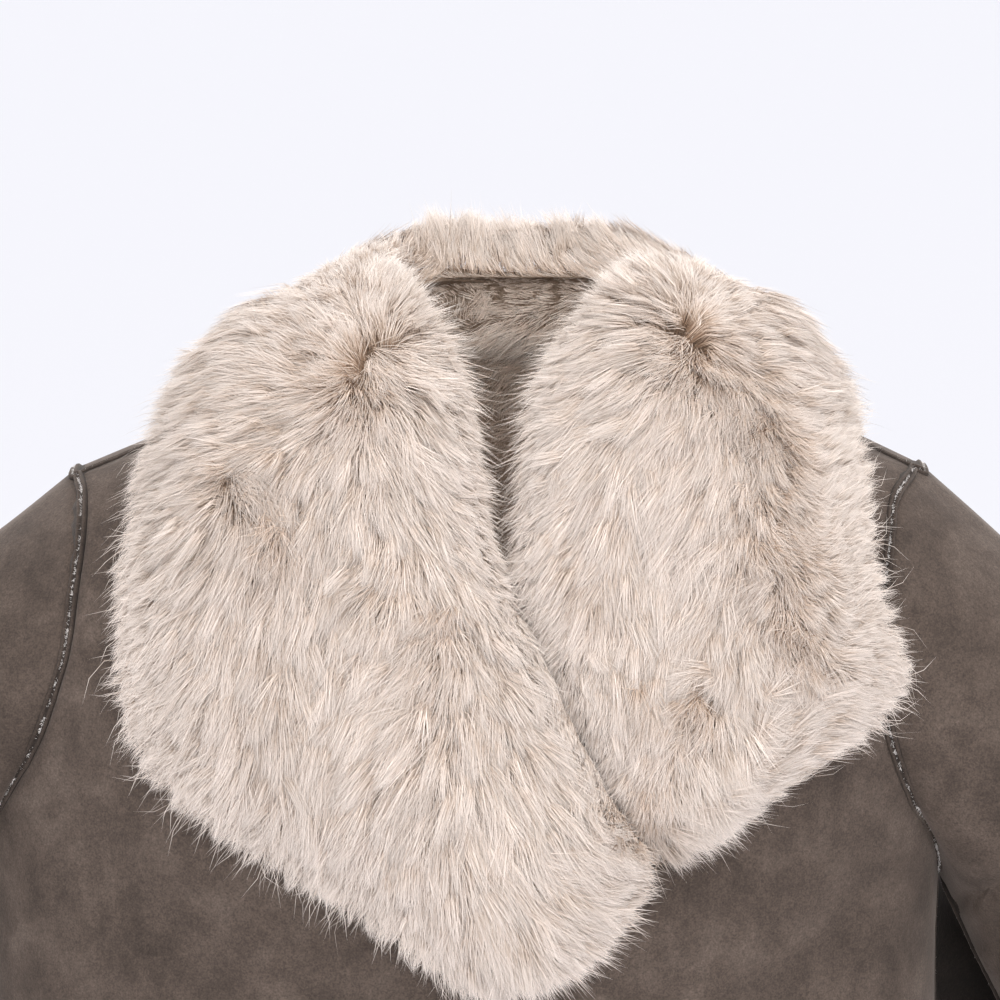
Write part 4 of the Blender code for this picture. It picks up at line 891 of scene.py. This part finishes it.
def furStrands(name, surface, cells, slotName, material, node, band=(0.0, 0.95), ways=pileWays, change=None):
    # single strands that grow from a fur's surface: cells says where, and band how far across
    look, count = {**furLook, **(change or {})}, int(strandCounts[name] * quickShare)
    outer, under = surface
    across = np.gradient(outer, axis=1)
    normals = unit(np.cross(np.gradient(outer, axis=0), across))
    flip = 1 if dot(normals, outer - under).sum() > 0 else -1
    clothUps = unit(np.cross(np.gradient(under, axis=0), np.gradient(under, axis=1)))
    columns = outer.shape[1] - 1
    cellShare = edgeShares((np.arange(columns) + 0.5) / columns)
    inside = cells * ((cellShare >= band[0]) & (cellShare < band[1]))[None]
    grids = [outer, under, normals * flip, unit(across), clothUps * flip]
    (roots, bases, ups, outs, flats), over = sampleGrid(grids, count, inside)
    overShare = edgeShares(over)
    # at both edges the pile spills out over the cloth instead of following the form down
    faced = ease(-flats[:, 1], *look["spillFacing"])
    spill = np.maximum((1 - ease(overShare, *look["spill"][:2])) * faced, ease(overShare, *look["spill"][2:]))
    ups = unit(ups + (flats - ups) * (spill * look["spillShare"])[:, None])
    depth = np.linalg.norm(roots - bases, axis=1)
    inset = np.minimum(depth * look["inset"], look["insetMost"])
    way, length, parting = ways(roots, ups, outs, overShare)
    lit = unit(ups + np.array([0, -0.3, 1]) * look["skyward"])
    spillLength = look["spillLength"] * (1 + look["spillJitter"] * rng.uniform(-1, 1, count))
    length = length * (1 + (spillLength - 1) * spill)

    # tufts: every strand leans towards the middle of its own
    area = (cellAreas(outer) * (inside > 0)).sum()
    tufts = rng.choice(count, min(count, int(area / look["tuft"] ** 2 * look["tufts"])), replace=False)
    tree = kdtree.KDTree(len(tufts))
    for i, tuft in enumerate(tufts):
        tree.insert(roots[tuft], i)
    tree.balance()
    nearest = np.array([tree.find(root)[1] for root in roots])
    mine = tufts[nearest]
    number = len(tufts)
    tuftTurn = np.radians(rng.normal(0, look["tuftJitter"], number))[nearest]
    tuftLength = rng.uniform(*look["tuftLength"], number)[nearest]
    tuftRise = rng.normal(0, look["tuftRise"], number)[nearest]
    tuftTone = rng.normal(0, look["tuftTone"], number)[nearest]
    pull = rng.uniform(*look["tuftPull"], number)[nearest]
    bend = rng.normal(0, look["tuftBend"], number)[nearest]
    jitter = np.radians(rng.normal(0, look["wayJitter"], count)) * (1 + look["partJitter"] * parting)
    ownWay = turned(way, ups, tuftTurn + jitter)
    tuftWay = turned(way[mine], ups[mine], tuftTurn)
    ownLength = length * tuftLength * rng.uniform(*look["lengthJitter"], count)
    tuftLong = length[mine] * tuftLength
    wisp = rng.random(count) < look["wisps"] + look["spillWisps"] * spill
    ownLength = ownLength * np.where(wisp, look["wispLength"] * (1 + look["wispSpill"] * spill), 1)
    pull = pull * np.where(wisp, look["wispPull"], 1)
    riseShare = 1.0 + tuftRise + rng.normal(0, look["riseJitter"], count)
    rise = inset * riseShare + look["partRise"] * parting + look["spillRise"] * spill
    fallShare = look["fall"] * (1 - look["fallSpill"] * spill)
    bend = bend + rng.normal(0, look["curl"], count)
    tuftUp = inset[mine] * (1.0 + tuftRise)
    sideways = np.cross(ups, ownWay)

    def path(root, up, way, side, long, high, t):
        # where a strand has got to at t: it rises, leans forward along its way, and falls and bows a little
        lift = 1 - (1 - t) ** 2.0
        forward = 0.28 * t + 0.72 * t**1.7
        fall = (fallShare * t**3 * long)[:, None]
        bow = (bend * long * t * (1 - t) * look["bow"])[:, None]
        return root + up * (high[:, None] * lift + fall) + way * long[:, None] * forward + side * bow

    start = roots - ups * inset[:, None]
    tuftStart = start[mine]
    stations = []
    for t in look["stations"]:
        own = path(start, ups, ownWay, sideways, ownLength, rise, t)
        shared = path(tuftStart, ups[mine], tuftWay, np.cross(ups[mine], tuftWay), tuftLong, tuftUp, t)
        stations.append(own + (shared - own) * (pull * t**1.3 * (1 - look["partLoose"] * parting))[:, None])
    twist = np.radians(rng.normal(0, look["twist"], count))
    wide = look["width"] * rng.uniform(*look["widths"], count)[:, None]
    # each strand is one point at its root, two where it bends and one at its tip
    points, alongs, shading = [], [], []
    last = len(stations) - 1
    for k, (t, place) in enumerate(zip(look["stations"], stations)):
        if k in (0, last):
            points.append(place)
            shading.append(lit)
            alongs.append(t)
            continue
        tangent = unit(stations[k + 1] - stations[k - 1])
        flatSide = turned(unit(np.cross(tangent, ups)), tangent, twist)
        soft = unit(np.cross(flatSide, tangent) * (1 - look["softNormals"]) + lit * look["softNormals"])
        points += [place - flatSide * wide / 2, place + flatSide * wide / 2]
        shading += [soft, soft]
        alongs += [t, t]
    number = len(points)
    points = np.stack(points, axis=1).reshape(-1, 3)
    first = np.arange(count)[:, None] * number
    corners = [(0, 2, 1), (number - 3, number - 2, number - 1)]
    corners[1:1] = [corner for k in range(1, number - 3, 2) for corner in ((k, k + 1, k + 3), (k, k + 3, k + 2))]
    triangles = np.concatenate([first + np.array([corner]) for corner in corners], axis=1)
    item = meshObject(name, points, triangles.reshape(-1, 3), material)
    item.data.normals_split_custom_set_from_vertices(np.stack(shading, axis=1).reshape(-1, 3))
    tone = tuftTone * look["toneShare"] + rng.normal(0, look["toneJitter"], count)
    setValues(item, "along", np.tile(np.array(alongs), count))
    setValues(item, "tone", np.repeat(tone, number))
    setValues(item, "parting", np.repeat(parting, number))
    worn(item, slotName, node)
    print(name, "made")


underfurForm = {"share": 0.34, "drawn": (0.05, 0.05), "edgeShare": 0.25, "edge": (0, 0.2)}


def underfur(name, surface, node, slotName, change=None):
    # the dense short fur that the long pile grows out of: a closed body, drawn in a little from the edges
    form = {**underfurForm, **(change or {})}
    outer, under = surface
    first, last = form["drawn"]
    places = (first + (1 - first - last) * np.linspace(0, 1, outer.shape[1])) * (outer.shape[1] - 1)
    low = np.minimum(places.astype(int), outer.shape[1] - 2)
    part = (places - low)[None, :, None]
    outer, under = (grid[:, low] * (1 - part) + grid[:, low + 1] * part for grid in (outer, under))
    edge = np.minimum(np.linspace(0, 1, outer.shape[1]), np.linspace(1, 0, outer.shape[1]))
    height = form["share"] * (form["edgeShare"] + (1 - form["edgeShare"]) * ease(edge, *form["edge"]))
    top = under + (outer - under) * height[None, :, None]
    rows, columns = top.shape[:2]
    ring = np.concatenate([top, under[:, ::-1]], axis=1)
    wide = 2 * columns
    caps = []
    for row, flip in ((0, False), (rows - 1, True)):
        for j in range(columns - 1):
            base = row * wide
            quad = [base + j, base + j + 1, base + wide - 2 - j, base + wide - 1 - j]
            caps.append(quad[::-1] if flip else quad)
    faces = np.concatenate([gridFaces(rows, wide, True), np.array(caps)])
    worn(meshObject(name, ring.reshape(-1, 3), faces, undercoat), slotName, node)


strandLook = {
    "root": (0.39, 0.248, 0.160), "low": (0.61, 0.470, 0.368), "high": (0.758, 0.657, 0.580),
    "tip": (0.825, 0.740, 0.675), "roughness": 0.62, "partingShade": 0.28,
    "toneShift": 0.10, "tones": (-2, 2), "shades": (0.62, 1.30),
    "places": {"root": 0.05, "tip": 0.95, "low": 0.28, "high": 0.58},
}


def strandMaterial(name, look):
    n = Nodes(name)
    along = n.add("ShaderNodeAttribute", attribute_name="along").outputs["Fac"]
    tone = n.add("ShaderNodeAttribute", attribute_name="tone").outputs["Fac"]
    parting = n.add("ShaderNodeAttribute", attribute_name="parting").outputs["Fac"]
    toned = n.math("ADD", along, n.math("MULTIPLY", tone, look["toneShift"]))
    # where the pile parts, the colour slides towards the root's: the darker roots showing, and painted shade in the
    # parting
    shifted = n.math("SUBTRACT", toned, n.math("MULTIPLY", parting, look["partingShade"]))
    colour = n.ramp(shifted, [(place, look[key]) for key, place in look["places"].items()])
    spans = dict(zip(("From Min", "From Max", "To Min", "To Max"), (*look["tones"], *look["shades"])))
    shade = n.add("ShaderNodeMapRange", {"Value": tone, **spans}).outputs[0]
    grey = n.add("ShaderNodeCombineColor", {"Red": shade, "Green": shade, "Blue": shade}).outputs[0]
    colour = n.mix(1.0, colour, grey, "MULTIPLY")
    return n.finish({"Base Color": colour, "Roughness": look["roughness"], "Specular IOR Level": 0.3})


underfurLook = {
    "colours": ((0.32, (0.26, 0.180, 0.125)), (0.68, (0.48, 0.370, 0.285))), "specks": (380, 4, 0.65, 0.6),
    "bump": (0.003, 0.9), "shader": {"Roughness": 1.0, "Specular IOR Level": 0.05},
}


def underfurMaterial():
    look = underfurLook
    n = Nodes("underfur")
    place = n.add("ShaderNodeTexCoord").outputs["Object"]
    specks = n.noise(place, *look["specks"])
    colour, normal = n.ramp(specks, look["colours"]), n.bump(specks, *look["bump"])
    return n.finish({"Base Color": colour, "Normal": normal, **look["shader"]})


longPile, undercoat = strandMaterial("longPile", strandLook), underfurMaterial()
strandCounts = {
    "lapelRightPile": 90000, "lapelLeftPile": 83000, "collarFrontPile": 88000, "collarBackPile": 42000,
    "neckPile": 34000, "lapelRightFringe": 10000, "lapelLeftFringe": 8000, "collarFringe": 9000,
}
quickShare = 1.0
frontSpan = {"y": 0.085, "z": -0.2}  # the collar's fur before this y and above this z shows from the front


def collarFur(name, surface, cells, node, change=None, band=(0.0, 0.95)):
    furStrands(name, surface, cells, "collar_fur", longPile, node, band, change=change)


collar = collarStretches()
right, left = lapelStretches(lapelRightRows), lapelStretches(lapelLeftRows)
lapels = {-1: np.concatenate([right, collar[:1]]), 1: np.concatenate([left, collar[-1:]])}
for side, stretches in lapels.items():
    name, node = "lapel" + sideNames[side], "lapel_" + sideNames[side].lower()
    surface = furSurface(stretches, side)
    underfur(name + "Underfur", surface, node, "collar_fur")
    collarFur(name + "Pile", surface, 1.0, node)
    collarFur(name + "Fringe", surface, 1.0, node, fringeLook, fringeLook["band"])
surface = furSurface(collar, 1)
underfur("collarUnderfur", surface, "collar", "collar_fur", {"drawn": (0.05, 0.09)})
cells = surface[0][1:, 1:]
inFront = (cells[..., 1] < frontSpan["y"]) & (cells[..., 2] > frontSpan["z"])
collarFur("collarFrontPile", surface, inFront.astype(float), "collar")
collarFur("collarBackPile", surface, (~inFront).astype(float), "collar", backLook)
collarFur("collarFringe", surface, 1.0, "collar", fringeLook, fringeLook["band"])


# The fur inside the back of the neck
neckForm = {
    "gap": 0.0044, "pile": 0.013, "thin": 0.05, "rim": -0.0038, "rimTurn": (math.radians(20), math.radians(37)),
    "top": math.radians(16), "bottomZ": -0.175, "half": 0.112, "narrowing": 0.42, "widens": (0.0, 0.3),
    # deep and its strength paint shade onto the pile lower down in the neck's hollow
    "thickens": (0, 0.16), "deep": (-0.02, 0.07), "deepPaintedShade": 1.1, "partShare": 0.6, "rows": 52, "columns": 57,
}
neckGuides = [  # as for the collar's pile
    (-22, 103, 140, 15, 0.1), (0, 104, 165, 15, 0), (25, 104, 170, 15, 0), (50, 103, 165, 15, 0.1),
    (-15, 94, 60, 16, 0.3), (5, 93, 210, 20, 0), (30, 93, 212, 20, 0), (-22, 76, 195, 18, 0.4),
    (0, 84, 222, 24, 0), (30, 85, 226, 24, 0), (12, 70, 236, 24, 0.1), (-12, 60, 215, 22, 0.3),
    (-22, 48, -85, 18, 0.5), (4, 52, 240, 24, 0), (-10, 36, 228, 22, 0.3), (12, 38, 226, 24, 0.1),
    (0, 22, 212, 22, 0.4), (10, 0, 214, 24, 0.2), (0, -14, 205, 22, 0.4), (5, -40, 220, 22, 0.3),
    (60, 60, 225, 22, 0), (-50, 60, 240, 22, 0),
]


def neckSurface():
    share = np.linspace(0, 1, neckForm["rows"])[:, None]
    half = neckForm["half"] * (1 - neckForm["narrowing"] * (1 - ease(share, *neckForm["widens"])))
    x = bodyForm["neckX"] + half * np.linspace(-1, 1, neckForm["columns"])[None]
    turn = neckForm["top"] + (turnAt(x, neckForm["bottomZ"], 1) - neckForm["top"]) * share
    out, cloth = clothNormal(x, turn), clothPoint(x, turn)
    under = bodyForm["wall"] + neckForm["gap"]
    under = neckForm["rim"] + (under - neckForm["rim"]) * ease(turn, *neckForm["rimTurn"])
    back = cloth - out * under[..., None]
    pile = neckForm["pile"] * (neckForm["thin"] + (1 - neckForm["thin"]) * ease(share, *neckForm["thickens"]))
    return back - out * pile[..., None], back


def neckWays(roots, normals, across, overShare):
    found = guided(roots, neckGuides)
    flat = unit(found[:, :2])
    way = flat[:, :1] * viewRight + flat[:, 1:2] * viewUp
    # painted shade: the pile is darker the deeper it sits in the neck, where the collar shades it
    deep = ease(-roots[:, 2], *neckForm["deep"])
    parting = found[:, 3] * neckForm["partShare"] + deep * neckForm["deepPaintedShade"]
    return unit(way - normals * dot(way, normals)), found[:, 2] / 1000, parting


# the neck's pile: its high and tip colours are lighter than the collar's, painted light for pile that the collar shades
neckPaintedLightLook = {
    **strandLook, "root": (0.34, 0.235, 0.170), "low": (0.68, 0.525, 0.420), "high": (0.88, 0.755, 0.655),
    "tip": (0.95, 0.865, 0.785), "roughness": 0.68, "partingShade": 0.42,
}
neckChange = {"spill": (-2, -1, 2, 3), "skyward": 0.6}  # no spill at its edges
neckSheet = neckSurface()
underfur("neckUnderfur", neckSheet, "neck_fur", "neck_fur", {"share": 0.60})
neckPaintedLightMaterial = strandMaterial("neckPile", neckPaintedLightLook)
furStrands("neckPile", neckSheet, 1.0, "neck_fur", neckPaintedLightMaterial, "neck_fur", (0.0, 1.1), neckWays, neckChange)


# Seams turned out, with the raw edges of the fleece showing between their two lips
weltForm = {
    "profile": (
        (-6.2, -2.6), (-6.2, -1.2), (-2.7, -0.4), (-2.1, 1.3), (-1.2, 1.6), (-0.4, 0.7),
        (0.4, 0.7), (1.2, 1.7), (2.1, 1.3), (2.7, -0.4), (6.2, -1.2), (6.2, -2.6),
    ),
    # painted shade across the profile: darkest where the lips meet the cloth and at the flange, some in the groove,
    # none on the lips' tops
    "fold": (1.0, 0.7, 1.0, 0.3, 0.0, 0.6, 0.6, 0.0, 0.3, 1.0, 0.7, 1.0),
    "wobble": 0.16, "meander": 0.0004, "step": 0.0024, "endSteps": 3, "endWidth": 0.3, "endHeight": 0.1,
    "meanders": (7, 11, 18, 29), "widths": (9, 17, 31, 47), "heights": (8, 15, 33, 52),
}
fibreLook = {
    "colour": (0.74, 0.70, 0.67), "width": 0.00034, "widths": (0.6, 1.3), "length": (0.0007, 0.0021), "spread": 1.2,
    "waves": (5, 13, 29, 61), "middle": 0.55, "swing": 1.3, "least": 0.05, "gaps": 0.15, "aside": 0.0003,
}


def rippleOf(count, waves, strength):
    # a smooth random ripple along a path
    total = np.zeros(count)
    for wave in waves:
        total += np.sin(np.linspace(0, 2 * math.pi, count) * wave + rng.uniform(0, 6.28)) * rng.uniform(0.5, 1.0)
    return strength * total / len(waves)


def evenPath(path, normals, closed):
    # the same path with even steps
    if closed:
        path, normals = np.concatenate([path, path[:1]]), np.concatenate([normals, normals[:1]])
    far = np.concatenate([[0], np.cumsum(np.linalg.norm(np.diff(path, axis=0), axis=1))])
    steps = np.linspace(0, far[-1], max(8, int(far[-1] / weltForm["step"])) + 1)
    if closed:
        steps = steps[:-1]
    both = [np.stack([np.interp(steps, far, values[:, k]) for k in range(3)], axis=1) for values in (path, normals)]
    path, normals = both
    if closed:
        before, after = np.roll(path, 1, axis=0), np.roll(path, -1, axis=0)
    else:
        change = np.gradient(path, axis=0)
        before, after = path - change, path + change
    tangents = unit(after - before)
    normals = unit(normals - tangents * dot(normals, tangents))
    return path, normals, np.cross(tangents, normals)


def welt(name, path, normals, wide, high, closed=False):
    path, normals, across = evenPath(path, normals, closed)
    count = len(path)
    path = path + across * rippleOf(count, weltForm["meanders"], weltForm["meander"])[:, None]
    wideHere = wide * (1 + rippleOf(count, weltForm["widths"], weltForm["wobble"]))
    highHere = high * (1 + rippleOf(count, weltForm["heights"], weltForm["wobble"]))
    profile = np.array(weltForm["profile"]) / 1000
    if not closed:
        ends = np.minimum(np.arange(count), np.arange(count)[::-1]) / weltForm["endSteps"]
        wideHere = wideHere * np.clip(weltForm["endWidth"] + ends, 0, 1)
        highHere = highHere * np.clip(weltForm["endHeight"] + ends, 0, 1)
    grid = path[:, None] + across[:, None] * (profile[None, :, :1] * wideHere[:, None, None])
    lift = np.where(profile[None, :, 1] > 0, profile[None, :, 1] * highHere[:, None], profile[None, :, 1])
    grid = grid + normals[:, None] * lift[..., None]
    if closed:
        grid = np.concatenate([grid, grid[:1]])
    faces = gridFaces(len(grid), grid.shape[1], True)
    if not closed:
        last, sides = (len(grid) - 1) * grid.shape[1], grid.shape[1]
        caps = [(k, k + 1, sides - 2 - k, sides - 1 - k) for k in range(sides // 2 - 1)]
        faces = np.concatenate([faces, np.array([cap[::-1] for cap in caps]), np.array(caps) + last])
    item = meshObject(name, grid.reshape(-1, 3), faces, seamSuede)
    # painted shade along the welt's profile
    setValues(item, "fold", np.tile(weltForm["fold"], len(grid)))
    worn(item, "suede")
    return path, normals, across


def fibres(paths, name, each, lift):
    # short raw fibres that stand along paths: paths holds place, normal and across arrays
    look, points = fibreLook, []
    for path, normals, across in paths:
        count = len(path)
        here = np.clip(look["middle"] + rippleOf(count, look["waves"], look["swing"]), look["least"], 1)
        here = here * rng.uniform(look["gaps"], 1, count)
        pick = rng.choice(count, int(each * count * here.mean()), p=here / here.sum())
        t = rng.random(len(pick))[:, None]
        following = np.minimum(pick + 1, count - 1)
        base = path[pick] * (1 - t) + path[following] * t
        tangent = unit(np.gradient(path, axis=0)[pick])
        out, over = normals[pick], across[pick]
        lean = rng.normal(0, look["spread"], (len(pick), 2))
        way = unit(out + over * lean[:, :1] + tangent * lean[:, 1:])
        long = rng.uniform(*look["length"], len(pick))[:, None]
        flat = unit(np.cross(way, unit(rng.normal(0, 1, way.shape))))
        wide = flat * look["width"] * rng.uniform(*look["widths"], (len(pick), 1))
        base = base + out * lift + over * rng.normal(0, look["aside"], (len(pick), 1))
        points.append(np.stack([base - wide / 2, base + wide / 2, base + way * long], axis=1))
    points = np.concatenate(points)
    item = meshObject(name, points.reshape(-1, 3), np.arange(len(points) * 3).reshape(-1, 3), rawFibre)
    worn(item, "collar_fur")


def plainMaterial(name, colour, roughness, specular):
    values = {"Base Color": (*colour, 1), "Roughness": roughness, "Specular IOR Level": specular}
    return Nodes(name).finish(values)


seamForm = {  # sizes are a seam's width and height against weltForm, and points its points along the path
    "shade": 0.80, "detail": 8, "forward": (0, 0.03), "low": (0.15, 0.20), "lift": 0.0018, "lean": 0.9,
    "armholeSizes": (1.12, 1.0), "shoulderSizes": (0.62, 0.8), "plainSizes": (0.9, 0.9),
    "shoulderPoints": 60, "sidePoints": 90, "sideEnd": 0.002, "sleeveStart": 2,
}
rawFibre = plainMaterial("rawFibre", fibreLook["colour"], 0.8, 0.15)
seamSuede = suedeMaterial("seamSuede", seamForm["shade"])


def armholeSeam(side, label):
    # it stands away from body and sleeve alike, and leans forward low at the front, where the fold is
    detail = seamForm["detail"]
    loop = armholeLoop(side, detail)
    front, back = armhole(side, -1, detail), armhole(side, 1, detail)
    bodyNormals = np.concatenate([clothNormal(*front), clothNormal(*back)[-2:0:-1]])
    following = np.roll(loop, -1, axis=0)
    tangents = unit(following - np.roll(loop, 1, axis=0))
    lengths = np.linalg.norm(following - loop, axis=1)
    leave = sleeveWays(side, np.concatenate([[0], np.cumsum(lengths)[:-1]]) / lengths.sum())
    sleeveNormals = unit(np.cross(tangents, leave))
    sleeveNormals *= np.sign(dot(sleeveNormals, loop - loop.mean(axis=0)))
    forward = ease(bodyForm["ridgeY"] - loop[:, 1], *seamForm["forward"])[:, None] * np.array([0, -1.0, 0])
    low = ease(-loop[:, 2:], *seamForm["low"])
    path = loop + forward * low * seamForm["lift"]
    out = unit(bodyNormals + sleeveNormals + forward * (seamForm["lean"] + low))
    return welt("armholeSeam" + label, path, out, *seamForm["armholeSizes"], closed=True)


def shoulderSeam(side, label):
    turn = np.full(seamForm["shoulderPoints"], bodyForm["seamTurn"])
    x = np.linspace(bodyForm["frontNeckX"][side], bodyForm["shoulderX"][side], len(turn))
    return welt("shoulderSeam" + label, clothPoint(x, turn), clothNormal(x, turn), *seamForm["shoulderSizes"])


def sideSeam(side, label):
    z = np.linspace(bodyForm["hemZ"], bodyForm["underarmZ"][side] - seamForm["sideEnd"], seamForm["sidePoints"])
    path = np.stack([sideOf(z, side), np.full(len(z), bodyForm["ridgeY"]), z], axis=1)
    return welt("sideSeam" + label, path, np.tile([side, 0.0, 0.0], (len(z), 1)), *seamForm["plainSizes"])


def sleeveSeam(side, label):
    sleeve = sleeveGrid(side)[0]
    out, first = unit(sleeve[:, 0] - sleeve.mean(axis=1)), seamForm["sleeveStart"]
    return welt("sleeveSeam" + label, sleeve[first:, 0], out[first:], *seamForm["plainSizes"])


armholeSeams, otherSeams = [], []
for side, label in sideNames.items():
    armholeSeams.append(armholeSeam(side, label))
    otherSeams += [shoulderSeam(side, label), sideSeam(side, label), sleeveSeam(side, label)]
fibres(armholeSeams, "seamFibres", 22, 0.0007)
fibres(otherSeams, "seamFibresPlain", 4, 0.0006)
print("seams made")


# Floor, light and camera
stageLook = {
    "floor": (0.90, 0.90, 0.93), "floorZ": -0.95, "floorHalf": 500, "sky": (0.93, 0.93, 0.96, 1), "skyStrength": 1.10,
}
studioLights = [  # name, place, aimed at, size, power, colour
    ("frontKey", (0.3, -3.0, 1.1), (0, 0, -0.1), 1.8, 39, (1.0, 0.985, 0.96)),
    ("topKey", (0.1, -1.0, 2.3), (0, 0, 0), 1.5, 20, (1.0, 0.985, 0.96)),
    ("sideFill", (-2.4, -2.0, 1.0), (0, 0, -0.2), 2.2, 5, (0.97, 0.985, 1.0)),
    ("rightFill", (2.6, -1.8, 1.2), (0, 0, -0.2), 2.2, 9, (0.97, 0.985, 1.0)),
    ("backGlow", (0.3, 2.8, 2.0), (0, 0, -0.1), 2.2, 56, (1.0, 1.0, 1.0)),
]


def aim(item, target):
    away = np.array(target, float) - np.array(item.location)
    flat = math.hypot(away[0], away[1])
    item.rotation_euler = (math.atan2(flat, -away[2]), 0, math.atan2(-away[0], away[1]))


def makeStage():
    half, z = stageLook["floorHalf"], stageLook["floorZ"]
    paleFloor = plainMaterial("paleFloor", stageLook["floor"], 0.9, 0.1)
    corners = [(-half, -half, z), (half, -half, z), (half, half, z), (-half, half, z)]
    floor = meshObject("floor", corners, [(0, 1, 2, 3)], paleFloor, smooth=False)
    world = bpy.data.worlds.new("studio")
    world.use_nodes = True
    sky = world.node_tree.nodes["Background"]
    sky.inputs["Color"].default_value = stageLook["sky"]
    sky.inputs["Strength"].default_value = stageLook["skyStrength"]
    bpy.context.scene.world = world
    for name, place, target, size, power, colour in studioLights:
        light = bpy.data.lights.new(name, "AREA")
        light.size, light.energy, light.color = size, power, colour
        item = bpy.data.objects.new(name, light)
        item.location = place
        aim(item, target)
        bpy.context.scene.collection.objects.link(item)


cameraLook = {"place": (0, -2.6358, 0.2043), "tilt": 84, "lens": 187.2, "sensor": 36}


def makeCamera():
    camera = bpy.data.cameras.new("frontCamera")
    camera.lens, camera.sensor_width = cameraLook["lens"], cameraLook["sensor"]
    item = bpy.data.objects.new("frontCamera", camera)
    item.location = cameraLook["place"]
    item.rotation_euler = (math.radians(cameraLook["tilt"]), 0, 0)
    bpy.context.scene.collection.objects.link(item)
    bpy.context.scene.camera = item


makeStage()
makeCamera()
bpy.context.scene.view_settings.view_transform = "Standard"
print("floor, light and camera made")
